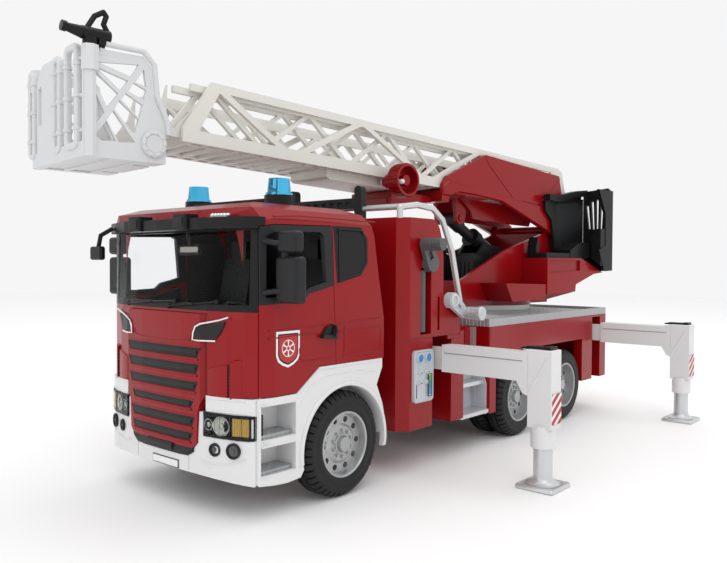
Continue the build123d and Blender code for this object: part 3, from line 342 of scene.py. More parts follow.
def rim_trim(name, x, s, dish):
    """Bright lip, raised ring round the hub, nuts and a valve."""
    trim = Piece("rim_trim_" + name)
    centre, inward, outward = (x, s * WHEEL_FACE_Y, TYRE_R), (0, -s, 0), (0, s, 0)
    lip = [(20.4, 1.4), (20.4, 0.35), (19.4, 0.2), (18.8, 0.9), (19.0, 1.8)]
    hub = [(6.6, dish - 1.2), (6.4, dish - 2.0), (5.4, dish - 2.2), (4.8, dish - 1.2)]
    trim.turned(centre, inward, lip, 48, closed=True)
    trim.turned(centre, inward, hub, 36, closed=True)
    nut = [(1.55, 0), (1.45, 0.5), (1.0, 0.55), (0.9, 1.5), (0.5, 1.8), (0.0, 1.8)]
    for i in range(NUTS):
        foot = orbit(x, s * (WHEEL_FACE_Y - dish + 1.3), TYRE_R, NUT_CIRCLE_R, 2 * pi * (i + 0.5) / NUTS)
        trim.turned(foot, outward, nut, 6)
    foot = orbit(x, s * (WHEEL_FACE_Y - dish), TYRE_R, VALVE_CIRCLE_R, VALVE_TURN)
    trim.turned(foot, outward, [(0.7, 0), (0.7, 1.6), (0.4, 2.0), (0.0, 2.0)], 10)
    trim.done(RIM_SILVER, "wheel_" + name, angle=35)


for name, x, s in WHEELS:
    if x == 0.0:
        tread(name, x, s, (WHEEL_FACE_Y,), TYRE_W)
        rim_trim(name, x, s, FRONT_DISH)
    else:
        tread(name, x, s, (WHEEL_FACE_Y, WHEEL_FACE_Y - TWIN_W - TWIN_GAP), TWIN_W)
        rim_trim(name, x, s, REAR_DISH)

# Front lines: how far forward a surface stands at each place across, as (x, y) from the side to the middle.
CAB_LINE = [(60, 76), (69, 73.5), (73, 66), (77, 54), (80.5, 38), (81, 0)]
GRILLE_LINE = [(77.5, 40), (82.0, 37), (83.2, 20), (83.5, 0)]
BUMPER_LINE = [(56, 76), (64, 75.4), (72, 71.5), (77, 60), (80, 45), (82.5, 20), (82.8, 0)]
CORNER_LINE = [(77.0, 57.5), (77.3, 54), (79.0, 47), (80.2, 43.5), (82.2, 37), (83.2, 20), (83.5, 0)]
LAMP_LINE = [(70.7, 72.6), (72.5, 70.2), (77, 60), (80, 45), (80.9, 38)]
SCREEN_LINE = [(60, 76), (69, 73.5), (72.3, 66), (75.2, 54), (77.3, 38), (77.9, 0)]
VISOR_LINE = [(64, 75.0), (72.2, 74.5), (77, 66), (81, 54), (84.5, 38), (85.5, 0)]


def along_line(line, y):
    y = abs(y)
    for (x0, y0), (x1, y1) in pairs(line):
        if y1 <= y <= y0:
            return x0 + (x1 - x0) * (y0 - y) / (y0 - y1)
    return line[-1][0] if y < line[-1][1] else line[0][0]


def laid_on(line, points, out, s=1):
    """Points (across, up) set on a front line, moved out by so much, on side s."""
    return [(along_line(line, y) + out, s * y, z) for y, z in points]


def plate_on(piece, line, points, low, high, s=1):
    """A plate that follows a front line, from low to high off the surface."""
    piece.solid([laid_on(line, points, out, s) for out in (low, high)])


def section(line, y, outline, s=1):
    """An upright outline of (out, up) that stands on a front line at one place across."""
    x = along_line(line, y)
    return [(x + out, s * y, z) for out, z in outline]


def slab(d0, d1, z0, z1):
    return [(d0, z0), (d1, z0), (d1, z1), (d0, z1)]


def evenly(low, high, count):
    """Neighbouring pairs of places that cut a length into equal steps."""
    return pairs([low + (high - low) * i / count for i in range(count + 1)])


# The dark inserts at the front's upper corners: place across, lowest and highest edge. Then their outline.
INSERT_EDGES = ((32.6, 102.6, 103.2), (34.4, 102.6, 107.8), (38, 102.5, 109.4), (41, 102.5, 110.1),
                (44, 102.5, 110.6), (47.8, 102.7, 111.2), (50.5, 105.4, 111.7), (54, 111.0, 112.3))
INSERT_OUTLINE = [(57.4, 115.2), (50.6, 113.3), (44.2, 112.0), (38.0, 110.8), (34.0, 109.0), (32.2, 105.4),
                  (31.6, 101.4), (36.8, 101.2), (42.0, 101.3), (48.0, 101.4)]
inserts, outlines = Piece("corner_inserts"), Piece("corner_outlines")
for s, _ in SIDES:
    for (y0, a0, b0), (y1, a1, b1) in pairs(INSERT_EDGES):
        plate_on(inserts, CORNER_LINE, ((y0, a0), (y1, a1), (y1, b1), (y0, b0)), -1.5, 0.7, s)
    outlines.tube(laid_on(CORNER_LINE, INSERT_OUTLINE, 0.5, s), 0.62, 8)
inserts.done(DARK)
outlines.done(CHROME, angle=50)

# Grille slats: top edge, half width, height.
SLATS = ((96.7, 37.7, 5.6), (87.3, 36.7, 5.6), (77.0, 35.5, 5.4), (66.0, 31.9, 4.2), (56.6, 33.0, 5.6),
         (47.3, 31.4, 4.8))
NAME_FIELD_FOLD = ((0, 99.6), (10, 99.6), (20, 99.9), (28, 101.0), (29.6, 104.0))
# Red lips round the slats, the fold under the plain name field, and stepped dark bars inside the slats.
lips = Piece("grille_lips")
for top, half, tall in SLATS:
    low = top - tall
    for z0, z1, out, reach in ((low - 1.9, low - 0.3, 0.75, half - 2.0),
                               (top + 0.3, top + 1.0, 0.35, half - 0.6)):
        lip = [(-0.3, z0), (out, (z0 + z1) / 2 - 0.2), (out * 0.6, z1), (-0.3, z1)]
        for pair in evenly(-reach, reach, 12):
            lips.solid([section(GRILLE_LINE, y, lip) for y in pair])
for s, _ in SIDES:
    lips.tube(laid_on(GRILLE_LINE, NAME_FIELD_FOLD, 0.1, s), 0.5, 8)
lips.done(RED, angle=40)
bars = Piece("slat_bars")
for top, half, tall in SLATS:
    mid = top - tall / 2
    bar = [(-0.9, mid - 1.3), (0.15, mid - 0.9), (0.25, mid + 0.2), (-0.2, mid + 1.6), (-0.9, mid + 1.6)]
    for pair in evenly(3.6 - half, half - 3.6, 10):
        bars.solid([section(GRILLE_LINE, y, bar) for y in pair])
bars.done(DARK, angle=30)

# Headlamps: places across where their parts bend; bowls as place across, height, radius and turn outwards.
LAMP_PLACES = (39.4, 45, 52, 58.5, 60, 66, 70.2, 72.2)
LAMP_BOWLS = ((43.6, 53.9, 3.4, 0.15), (52.6, 53.8, 5.6, 0.3))
AMBER_RIBS, AMBER_PITCH = 7, 1.35


def lamp_strip(piece, s, y0, y1, outline):
    piece.solid([section(LAMP_LINE, y, outline, s) for y in (y0, y1)])


# Dark housings round the corners, two bowls, a ribbed amber indicator and a clear cover each.
housing, bowls = Piece("lamp_housings"), Piece("lamp_bowls")
ambers, covers = Piece("lamp_ambers"), Piece("lamp_covers")
back = ((39.4, 46.9), (72.2, 46.9), (72.2, 60.9), (39.4, 60.9))
for s, _ in SIDES:
    for y0, y1 in pairs(LAMP_PLACES):
        lamp_strip(housing, s, y0, y1, slab(-0.6, 0.75, 46.9, 48.8))
        lamp_strip(housing, s, y0, y1, slab(-0.6, 0.75, 59.2, 60.9))
        if y0 >= 70 or y1 <= 45.1:
            lamp_strip(housing, s, y0, y1, slab(-0.4, 0.25, 48.0, 60.0))
        lamp_strip(covers, s, y0, y1, slab(0.9, 1.15, 48.2, 59.8))
    plate_on(housing, LAMP_LINE, back, -6.0, -2.4, s)
    for y0, y1 in pairs(LAMP_PLACES):
        lamp_strip(housing, s, y0, y1, slab(-3.0, -0.35, 47.2, 60.6))
    for y, z, r, turn_out in LAMP_BOWLS:
        profile = [(r, 0.0), (r, 0.9), (r - 0.5, 1.0), (r * 0.82, 0.3), (r * 0.5, -0.2), (1.7, -0.1),
                   (1.5, 0.8), (0.9, 1.2), (0.0, 1.3)]
        bowls.turned((along_line(LAMP_LINE, y) - 0.2, s * y, z), (1, s * turn_out, 0), profile, 32)
    for i in range(AMBER_RIBS):
        y = 60.2 + i * AMBER_PITCH
        ambers.solid([section(LAMP_LINE, q, slab(-0.2, out, 49.2, 59.0), s)
                      for q, out in ((y, 0.35), (y + 0.5, 0.75), (y + AMBER_PITCH, 0.35))])
housing.done(BLACK, edge=0.1, replaces=("lamps",))
bowls.done(BOWL, angle=40)
ambers.done(AMBER, angle=25)
covers.done(GLASS)

# Fog lamps: the source's holes as place across, height and radius, and the lamps with their x too.
FOG_HOLES = ((57.5, 41.0, 3.75), (67.0, 40.5, 4.25))
FOG_LAMPS = ((48.2, 40.0, 3.3, 80.2), (61.2, 40.8, 4.0, 77.6))
# Dark rings and small bowls nearer the middle than the source's holes, which are plugged.
rings, bowls, plugs = Piece("fog_rings"), Piece("fog_bowls"), Piece("bumper_plugs")
for s, _ in SIDES:
    for y, z, r in FOG_HOLES:
        for pair in evenly(y - r, y + r, 8):
            halves = [max(sqrt(max(r * r - (q - y) ** 2, 0.0)), 0.05) for q in pair]
            plugs.solid([section(BUMPER_LINE, q, slab(-3.0, 0.02, z - half, z + half), s)
                         for q, half in zip(pair, halves)])
    for y, z, r, x in FOG_LAMPS:
        centre, axis = (x, s * y, z), (1, s * 0.32, 0)
        ring = [(r + 0.5, -1.2), (r + 0.5, 0.2), (r + 0.1, 0.5), (r - 0.6, 0.2), (r - 1.0, -0.6),
                (r - 1.0, -1.2)]
        bowl = [(r - 0.9, -1.0), (r - 0.9, -0.5), (r * 0.55, -0.9), (1.0, -0.7), (0.8, 0.0), (0.0, 0.1)]
        rings.turned(centre, axis, ring, 32, closed=True)
        bowls.turned(centre, axis, bowl, 28)
plugs.done(WHITE, angle=30)
rings.done(DARK, angle=40)
bowls.done(CRANK_GREY, angle=40)

# Number plate: blank, with a thin dark border. Its middle point lets it follow the bumper.
for name, grow, low, high, paint in (("plate_border", 0.5, -0.3, 0.45, BLACK),
                                     ("plate_blank", 0.0, 0.2, 0.65, PRINT_WHITE)):
    left, right, z0, z1 = -8.1 - grow, 17.1 + grow, 24.9 - grow, 28.9 + grow
    outline = [(left, z0), (4.5, z0), (right, z0), (right, z1), (4.5, z1), (left, z1)]
    piece = Piece(name)
    plate_on(piece, BUMPER_LINE, outline, low, high)
    piece.done(paint, edge=0.1)

# Folds of the bumper as radius and points, and the seams' stations under the lamps.
BUMPER_FOLDS = ((0.55, ((36, 33.2), (44, 31.6), (54, 32.4), (62, 34.0), (68, 36.4))),
                (0.6, ((41.5, 61.6), (50, 61.9), (60, 62.1), (68, 62.0), (71.4, 61.5))),
                (0.5, ((41.5, 68.4), (50, 68.8), (60, 69.0), (68, 68.8))))
SEAM_Y, SEAM_Z, SEAM_STATIONS = 26.5, 46.4, (39, 46, 54, 62, 70)
folds, seams = Piece("bumper_folds"), Piece("bumper_seams")
for s, _ in SIDES:
    for r, points in BUMPER_FOLDS:
        folds.tube(laid_on(BUMPER_LINE, points, 0.05, s), r, 8)
    left, right = s * SEAM_Y - 0.15, s * SEAM_Y + 0.15
    plate_on(seams, BUMPER_LINE, [(left, 25), (right, 25), (right, 33.5), (left, 33.5)], -0.2, 0.06)
    for y0, y1 in pairs(SEAM_STATIONS):
        strip = [(y0, SEAM_Z), (y1, SEAM_Z), (y1, SEAM_Z + 0.3), (y0, SEAM_Z + 0.3)]
        plate_on(seams, BUMPER_LINE, strip, -0.2, 0.06, s)
folds.done(WHITE, angle=50)
seams.done(SEAM)

# Air guides at the cab's front corners, before and behind the slit: place across, out, low, high.
GUIDE_FRONT = ((41.6, 0.2, 70.2, 86.2), (45, 0.9, 69.6, 87.0), (52, 1.1, 69.4, 88.6), (55.8, 1.0, 69.4, 89.2))
GUIDE_REAR = ((58.2, 2.0, 68.6, 91.0), (60.6, 1.9, 68.6, 92.0), (64.5, 0.3, 69.5, 92.4))
SLIT_SLATS = 9
PANEL_JOINT = ((70.6, 75), (75, 90), (90, 101))
guides, slits = Piece("corner_guides"), Piece("corner_slits")
bar_x, joint_x = along_line(CAB_LINE, 57.1), along_line(CAB_LINE, 40.8)
for s, _ in SIDES:
    guides.solid([section(CAB_LINE, y, [(-0.8, z0), (out, z0), (out, z1 - 1), (-0.8, z1)], s)
                  for y, out, z0, z1 in GUIDE_FRONT])
    guides.solid([section(CAB_LINE, y, [(-0.8, z0), (out, z0 + 0.6), (out, z1 - 1.2), (-0.8, z1)], s)
                  for y, out, z0, z1 in GUIDE_REAR])
    slits.solid([section(CAB_LINE, y, slab(-0.8, out, 70.2, 88.8), s) for y, out in ((56.2, 0.4), (58, 0.5))])
    for i in range(SLIT_SLATS):
        z = 71.2 + i * 2.0
        slits.block(s, bar_x - 0.5, bar_x + 1.1, 56.3, 58.0, z, z + 0.8)
    for z0, z1 in PANEL_JOINT:
        slits.block(s, joint_x - 0.4, joint_x + 0.12, 40.3, 40.7, z0, z1)
guides.done(RED, edge=0.3, angle=40)
slits.done(BLACK)

# Each wiper's pivot, middle and end, as (across, up).
WIPERS = (((-46, 119.4), (-20, 121.0), (8, 122.6)), ((2, 119.4), (22, 121.0), (46, 123.4)))
piece = Piece("wipers")
for points in WIPERS:
    piece.tube(laid_on(SCREEN_LINE, points, 0.9), 0.7, 8)
    pivot, (mid_y, mid_z), end = points
    for y, z in (pivot, end):
        knob = [(1.5, 0), (1.5, 1.4), (1.0, 1.9), (0, 1.9)]
        piece.turned((along_line(SCREEN_LINE, y) - 0.4, y, z), (1, 0, 0), knob, 16)
    x = along_line(SCREEN_LINE, mid_y)
    piece.box(x + 0.4, x + 1.9, mid_y - 4.5, mid_y + 4.5, mid_z - 0.2, mid_z + 1.3)
piece.done(BLACK, edge=0.1, angle=40)

# A cluster of small bright bulbs on the visor, and the louvred faces of its two inner boxes.
lamp, faces = Piece("visor_lamp"), Piece("visor_faces")
for i in range(6):
    for j in range(2):
        y, z = 44.5 + i * 2.1 + j * 0.9, 170.2 + j * 2.0
        bulb = [(1.15, -1.0), (1.15, 0.4), (0.7, 1.0), (0, 1.2)]
        lamp.turned((along_line(VISOR_LINE, y) - 2.6 - j * 0.8, y, z), (1, 0.2, 0.25), bulb, 12)
for s, _ in SIDES:
    faces.block(s, 86.9, 87.35, 19.5, 27.5, 166.2, 171.6)
    for k in range(4):
        faces.block(s, 87.2, 87.5, 19.8, 27.2, 166.7 + k * 1.25, 167.3 + k * 1.25)
lamp.done(CHROME, angle=40)
faces.done(DARK, edge=0.1)

# Outer mirrors' faces: x, distance from the middle, height of the centre, width and height. Inside mirror.
MIRRORS = ((53.45, 87.0, 136.3, 13.6, 22.0), (54.95, 87.6, 157.2, 11.6, 8.6))
ROOM_MIRROR_X = 62.5
ROOM_OUTLINE = [(-9.6, 151.4), (9.6, 151.4), (10.2, 153.5), (9.6, 155.8), (-9.6, 155.8), (-10.2, 153.5)]
for s, name, body in ((1, "mirror_faces", "door_left"), (-1, "mirror_faces_right", "door_right")):
    faces = Piece(name)
    for x, y, z, wide, tall in MIRRORS:
        b, c = wide / 2, tall / 2
        corners = ((-b, 1 - c), (1 - b, -c), (b - 1, -c), (b, 1 - c), (b, c - 1), (b - 1, c), (1 - b, c),
                   (-b, c - 1))
        faces.front([(s * (y + dy), z + dz) for dy, dz in corners], x - 0.05, x + 0.5)
    faces.done(MIRROR, body, edge=0.1)
room, room_frame = Piece("room_mirror"), Piece("room_mirror_frame")
room.front(ROOM_OUTLINE, ROOM_MIRROR_X - 0.3, ROOM_MIRROR_X + 0.1)
room_frame.tube([(ROOM_MIRROR_X, y, z) for y, z in ROOM_OUTLINE], 0.7, 8, closed=True)
room.done(ROOM_MIRROR, edge=0.1)
room_frame.done(BLACK, angle=40)

# Doors' badge. Layers: name, material, scale of the outline and how far it stands off the door.
SHIELD_X, SHIELD_Z, RING_Z = 49.9, 96.8, 97.2
SHIELD_HALF = [(9.1, 10.2), (9.1, -3.6), (7.6, -6.8), (4.4, -9.0), (0.0, -10.6)]
SHIELD_LAYERS = (("shield_white", PRINT_WHITE, 1.0, 0.22), ("shield_dark", BLACK, 0.86, 0.3),
                 ("shield_red", PRINT_RED, 0.78, 0.36))
RING_BACK, RING_FRONT, RING_SIDES, BAR_HALF = 76.3, 76.44, 40, 0.28


def shield(s, side_name):
    """Three plain shields on each other, then a ring with cross bars."""
    outline = SHIELD_HALF + [(-x, z) for x, z in reversed(SHIELD_HALF) if x]
    for label, paint, scale, proud in SHIELD_LAYERS:
        layer = Piece(label + "_" + side_name)
        points = [(SHIELD_X + x * scale, SHIELD_Z + z * scale) for x, z in outline]
        layer.side(points, s * 75.9, s * (76 + proud))
        layer.done(paint, "door_" + side_name)
    badge = Piece("shield_ring_" + side_name)
    for r0, r1 in ((4.5, 4.9), (1.1, 1.6)):
        rows = []
        for k in range(RING_SIDES):
            t = 2 * pi * k / RING_SIDES
            corners = ((r0, RING_BACK), (r1, RING_BACK), (r1, RING_FRONT), (r0, RING_FRONT))
            rows.append([orbit(SHIELD_X, s * y, RING_Z, r, t) for r, y in corners])
        badge.solid(rows, closed=True)
    for k in range(6):
        t = pi / 2 + 2 * pi * k / 6
        ux, uz = cos(t), sin(t)
        bar = ((1.6, -BAR_HALF), (4.5, -BAR_HALF * 2), (4.5, BAR_HALF * 2), (1.6, BAR_HALF))
        badge.side([(SHIELD_X + ux * r - uz * q, RING_Z + uz * r + ux * q) for r, q in bar],
                   s * RING_BACK, s * RING_FRONT)
    badge.done(PRINT_WHITE, "door_" + side_name)


# Creases: radius, then points as x, distance from the middle and height.
DOOR_CREASES = ((0.5, ((64, 75.2, 103.4), (58, 76.02, 103.7), (30, 76.02, 104.6), (26.4, 76.02, 104.2))),
                (0.42, ((64, 75.0, 107.8), (58, 75.98, 108.0), (36, 76.0, 108.4), (12.6, 76.0, 109.0))),
                (0.5, ((40.5, 76.0, 90.6), (37, 76.02, 88.6), (30, 76.02, 88.4), (11.4, 76.02, 88.8))),
                (0.42, ((40.5, 76.0, 90.6), (41.2, 76.0, 95.5), (39.6, 75.9, 99.6))))
CAB_CREASES = ((0.42, ((7.6, 76.0, 109.2), (-10, 76.0, 109.8), (-33, 76.0, 110.4))),
               (0.5, ((7.6, 76.02, 104.2), (-10, 76.02, 104.6), (-33, 76.02, 105.0))),
               (0.5, ((3.6, 76.0, 88.6), (-10, 76.0, 88.8), (-31, 76.0, 89.2))),
               (0.42, ((3.6, 76.0, 88.6), (2.4, 76.0, 92.0), (2.4, 76.0, 107.0))),
               (0.42, ((-31, 76.0, 89.2), (-32.6, 76.0, 92.4), (-32.9, 76.0, 103))),
               (0.5, ((-26, 76.0, 172.2), (-10, 75.2, 172.6), (10, 74.6, 172.9), (40, 74.4, 173.0),
                      (60, 74.6, 171.8))))
QUARTER_PANE = [(7.6, 134.6), (-12, 139.3), (-17.6, 146.6), (-17.4, 160), (-13.4, 166.4), (7.8, 166.4)]


def cab_side(s, side_name):
    """Creases of the door and the cab's side, the quarter window's dark rim, and the door's grip."""
    door, cab = Piece("door_creases_" + side_name), Piece("cab_creases_" + side_name)
    door.creases(s, DOOR_CREASES)
    door.done(RED, "door_" + side_name, angle=50)
    cab.creases(s, CAB_CREASES)
    cab.done(RED, angle=50)
    rim = Piece("quarter_rims_" + side_name)
    rim.tube([(x, s * 76.02, z) for x, z in QUARTER_PANE], 0.45, 8, closed=True)
    rim.done(DARK, angle=50)
    grip = Piece("door_grips_" + side_name)
    grip.side([(13.4, 102.9), (22.6, 103.6), (18.4, 107.0), (13.8, 107.9)], s * 77.4, s * 77.75)
    grip.tube([(13.2, s * 78.6, 108.4), (13.0, s * 79.4, 104.5), (14.4, s * 79.0, 101.5)], 1.0, 10)
    grip.done(BLACK, "door_" + side_name, edge=0.15, angle=40)


# Front arches: centre, and the lip's section as radius and distance from the middle.
ARCH_X, ARCH_Z, ARCH_STEPS, ARCH_LOWEST = 0.8, 33.0, 48, 26.5
ARCH_LIP = ((36.9, 74.9), (36.9, 76.9), (37.6, 77.3), (38.8, 77.2), (39.4, 76.5), (39.4, 75.6))
WING_FOLDS = ((0.5, ((42.5, 76.0, 70.0), (24.2, 76.02, 82.4), (-33.6, 76.02, 82.4))),
              (0.45, ((41.5, 76.0, 62.0), (30.0, 76.02, 74.4), (18.0, 76.02, 78.2), (-10, 76.02, 78.6),
                      (-27, 76.02, 76.0))))


def arch_lips(s, side_name):
    """Wing's lip with two marks at its top, folds of the wing, and edges of the boarding steps' openings."""
    lip = Piece("arch_lips_" + side_name)
    rows = []
    for k in range(ARCH_STEPS + 1):
        t = radians(-12 + 204 * k / ARCH_STEPS)
        rows.append([orbit(ARCH_X, s * y, ARCH_Z, r, t) for r, y in ARCH_LIP])
    lip.solid([row for row in rows if row[0][2] > ARCH_LOWEST])
    for x0 in (-3.2, 3.0):
        t = atan2(37, x0)
        lip.tube([orbit(ARCH_X, s * y, ARCH_Z, r, t) for r, y in ((37.2, 77.2), (39.3, 77.1))], 0.35, 6)
    lip.creases(s, WING_FOLDS)
    lip.creases(s, [(0.45, ((43.2, 76.0, z), (68.2, 75.0, z))) for z in (26.8, 43.2, 46.8, 66.2)])
    lip.block(s, 43.0, 68.0, 73.2, 76.3, 43.2, 44.2)
    lip.done(WHITE, angle=45)


def door_shade_plates(s, side_name):
    """Dark plates inside a door, with an armrest: painted shade, dark where the inside of the cab lies in
    shade.
    """
    shade_plates = Piece("door_shade_plates_" + side_name)
    shade_plates.side([(14, 90), (57, 90), (61, 104), (61, 119), (38, 122), (18, 128)], s * 71.2, s * 71.9)
    shade_plates.side([(22, 100), (50, 100), (50, 104), (22, 104)], s * 69.8, s * 71.4)
    shade_plates.done(DARK, "door_" + side_name, edge=0.3)


for make in (shield, cab_side, arch_lips, door_shade_plates):
    for s, side_name in SIDES:
        make(s, side_name)

# Tower's control panel: distance of its face from the middle, outlines, and knobs' places.
FACE, PROUD, DIAL_Z = 78.0, 79.2, 80.0
PANEL_RIM = [(-69.0, 84.6), (-67.8, 83.4), (-67.8, 51.1), (-69.0, 49.9), (-87.5, 49.9), (-88.7, 51.1),
             (-88.7, 83.4), (-87.5, 84.6)]
SLOT_RIM = [(-81.9, 52.6), (-81.9, 68.4), (-85.9, 68.4), (-85.9, 52.6)]
KNOBS = ((-73.0, 70.0), (-81.0, 70.0), (-73.0, 63.0), (-80.0, 63.0))
SLOT_COLOURS = (("green", GREEN, 63.6, 67.2), ("teal", TEAL, 58.6, 63.6), ("blue", SKY, 53.8, 58.6))
# On both sides: a rim, two dials, four knobs, dark grooves and a slot in three colours.
rims, dials = Piece("panel_rims"), Piece("panel_dials")
knobs, grooves = Piece("panel_knobs"), Piece("panel_grooves")
for s, _ in SIDES:
    out = (0, s, 0)
    rims.tube([(x, s * FACE, z) for x, z in PANEL_RIM], 0.5, 8, closed=True)
    for x in (-73.0, -82.5):
        centre = (x, s * FACE, DIAL_Z)
        rims.turned(centre, out, [(3.7, 0), (3.7, 1.2), (3.2, 1.6), (2.8, 1.3), (2.8, 0)], 36, closed=True)
        dials.turned(centre, out, [(2.85, 0.8), (2.85, 1.3), (1.1, 1.4), (0.9, 1.7), (0, 1.7)], 32)
    for x, z in KNOBS:
        knob = [(2.1, 0), (2.0, 0.6), (1.45, 0.9), (1.35, 1.9), (0.9, 2.2), (0, 2.2)]
        knobs.turned((x, s * FACE, z), out, knob, 24)
        grooves.block(s, x - 1.0, x + 1.0, 80.1, 80.35, z - 0.22, z + 0.22)
    grooves.tube([(-69.8, s * 78.05, 62.0), (-69.8, s * 78.05, 52.4)], 0.3, 6)
    grooves.tube([(x, s * PROUD, z) for x, z in SLOT_RIM], 0.35, 6, closed=True)
rims.done(PANEL, angle=40)
dials.done(SKY, angle=40)
knobs.done(PANEL, angle=35)
grooves.done(BLACK, angle=35)
for label, paint, z0, z1 in SLOT_COLOURS:
    part = Piece("panel_slot_" + label)
    for s, _ in SIDES:
        part.block(s, -85.3, -82.4, 79.0, 79.5, z0, z1)
    part.done(paint, edge=0.1)

# Lower cranks: disc's and grip's centre as (x, z), grip's radius, and where it starts and ends.
CRANK_DISC, CRANK_GRIP = (-110.5, 119.1), (-124.5, 109.6)
GRIP_R, GRIP_FROM, GRIP_TO, GRIP_RIBS = 4.3, 84.0, 95.6, 5
# Ribs and a flange round each grip, and a raised ring on each disc.
ribs = Piece("crank_ribs_lower")
(dx, dz), (gx, gz), r = CRANK_DISC, CRANK_GRIP, GRIP_R
rib = [(r - 0.5, 0), (r + 0.35, 0.1), (r + 0.35, 1.1), (r - 0.5, 1.2)]
flange = [(r - 0.5, 0), (r + 0.9, 0.2), (r + 0.9, 2.4), (r + 0.4, 2.9), (r - 0.5, 2.9)]
for s, _ in SIDES:
    for k in range(GRIP_RIBS):
        y = GRIP_FROM + (GRIP_TO - GRIP_FROM - 2.2) * k / GRIP_RIBS
        ribs.turned((gx, s * y, gz), (0, s, 0), rib, 28, closed=True)
    ribs.turned((gx, s * (GRIP_TO - 1.6), gz), (0, s, 0), flange, 32, closed=True)
    ribs.turned((dx, s * 81.3, dz), (0, s, 0), [(3.2, 0), (3.2, 1.0), (4.9, 1.0), (4.9, 0)], 36, closed=True)
ribs.done(SILVER, angle=35)

# Slanted cheeks and risers of the steps behind the tower, and studs on their treads.
cheeks, studs = Piece("stair_cheeks"), Piece("stair_studs")
cheek = ((54.4, 74.4), (63.0, 74.4), (72.0, 50), (72.0, 25.4), (54.4, 25.4))
for s, _ in SIDES:
    cheeks.front([(s * y, z) for y, z in cheek], -171.7, -170.7)
    for z0, z1, foot in ((28.0, 50.0, 59.0), (51.0, 73.0, 58.6)):
        cheeks.front([(s * 56.4, z0), (s * foot, z0), (s * 57.2, z1), (s * 56.4, z1)], -170.7, -132.2)
    for z, depth in ((28.4, 16), (51.4, 12)):
        for i in range(13):
            for j in range(2):
                x, y = -168.6 + i * 2.8 + j * 1.2, 54.2 + depth - 1.6 - j * 2.6
                studs.turned((x, s * y, z - 0.9), UP, [(0.95, 0), (0.9, 1.0), (0.45, 1.3), (0, 1.3)], 6)
cheeks.done(PANEL, edge=0.2)
studs.done(SILVER)

# Stabilisers. Striped plate: its edges and half its width, and the stripes' pitch, height and rise.
BEAMS = (("front_left", -100.7, 1), ("front_right", -100.7, -1), ("rear_left", -376.9, 1),
         ("rear_right", -376.9, -1))
LEG_SHOWN_Y = 158.0
PLATE_LOW, PLATE_HIGH, PLATE_HALF = 42.8, 62.6, 6.5
STRIPE_PITCH, STRIPE_TALL, STRIPE_RISE = 6.6, 4.6 * 0.72, 9.0


def clipped(bar, low, high):
    """The part of an upright outline that lies between two heights."""
    points = []
    for (a, b), (c, d) in zip(bar, bar[1:] + bar[:1]):
        points.append((a, min(max(b, low), high)))
        for limit in (low, high):
            if (b - limit) * (d - limit) < 0:
                t = (limit - b) / (d - b)
                points.append((a + t * (c - a), limit))
    kept = []
    for p in points:
        if not kept or abs(p[0] - kept[-1][0]) + abs(p[1] - kept[-1][1]) > 0.01:
            kept.append(p)
    return kept


def warning_stripes(name, x, s):
    """White plate on the post's outer face, with slanted red bars."""
    plate, bands = Piece("warning_plate_" + name), Piece("warning_bands_" + name)
    left, right = x - PLATE_HALF, x + PLATE_HALF
    corners = [(left, PLATE_LOW), (right, PLATE_LOW), (right, PLATE_HIGH), (left, PLATE_HIGH)]
    plate.side(corners, s * 166.9, s * 167.3)
    plate.done(PRINT_WHITE, "beam_" + name, edge=0.05)
    for k in range(-1, 4):
        z = PLATE_LOW + k * STRIPE_PITCH - 1.2
        stripe = clipped([(right, z), (left, z + STRIPE_RISE), (left, z + STRIPE_RISE + STRIPE_TALL),
                          (right, z + STRIPE_TALL)], PLATE_LOW, PLATE_HIGH)
        heights = [q for _, q in stripe]
        if max(heights) - min(heights) > 0.5:
            bands.side(stripe, s * 167.2, s * 167.45)
    bands.done(PRINT_RED, "beam_" + name)


def beam_trim(name, x, s):
    """Ledge and groove along both sides of the beam, and the black clip on its post."""
    body = "beam_" + name
    trim, groove, clip = Piece("beam_trim_" + name), Piece("beam_groove_" + name), Piece("post_clip_" + name)
    for way in (1, -1):
        x0, x1 = sorted((x + way * 6.4, x + way * 7.0))
        trim.block(s, x0, x1, 84, 146, 82.8, 85.0)
        groove.tube([(x + way * 6.75, s * 84.2, 82.3), (x + way * 6.75, s * 146, 82.3)], 0.3, 6)
    trim.done(WHITE, body, edge=0.15)
    groove.done(SEAM, body)
    clip.block(s, x - 5.4, x + 3.4, 143, 164.6, 90.0, 91.2)
    clip.block(s, x - 4.4, x + 2.4, 146, 162, 91.0, 91.9)
    clip.block(s, x - 5.8, x + 4.4, 159.6, 164.6, 90.8, 92.4)
    clip.done(BLACK, body, edge=0.3)


# Arm's walls: x from its middle, distance from the truck's middle, height. Post's edges, bevel and rings.
ARM_WALLS = ((0.3, 6.7, 82, 149.7, 68.9, 88.1), (-6.7, 1.0, 82, 149.7, 86.3, 88.0),
             (-6.7, -5.3, 82, 149.7, 68.9, 88.0), (0.4, 5.0, 20, 84, 70.1, 86.0))
ARM_WEBS = (((141.5, 69.2), (141.9, 68.0), (146.0, 61.2), (149.8, 59.8), (149.8, 69.2)),
            ((141.5, 87.6), (149.8, 90.2), (149.8, 86.6), (141.5, 86.6)))
POST_NEAR, POST_FAR, POST_HALF, POST_BEVEL = 149.5, 167.0, 6.8, 0.5
POST_RINGS = ((0.3, 39.5), (0.0, 40.0), (0.0, 90.0), (0.4, 90.4), (0.45, 90.4), (0.45, 39.5))


def post_outline(x, s, inset, z):
    near, far, half = POST_NEAR + inset, POST_FAR - inset, POST_HALF - inset
    edge = half - POST_BEVEL
    points = ((edge, near), (half, near + POST_BEVEL), (half, far - POST_BEVEL), (edge, far),
              (-edge, far), (-half, far - POST_BEVEL), (-half, near + POST_BEVEL), (-edge, near))
    return [(x + a, s * q, z) for a, q in points]


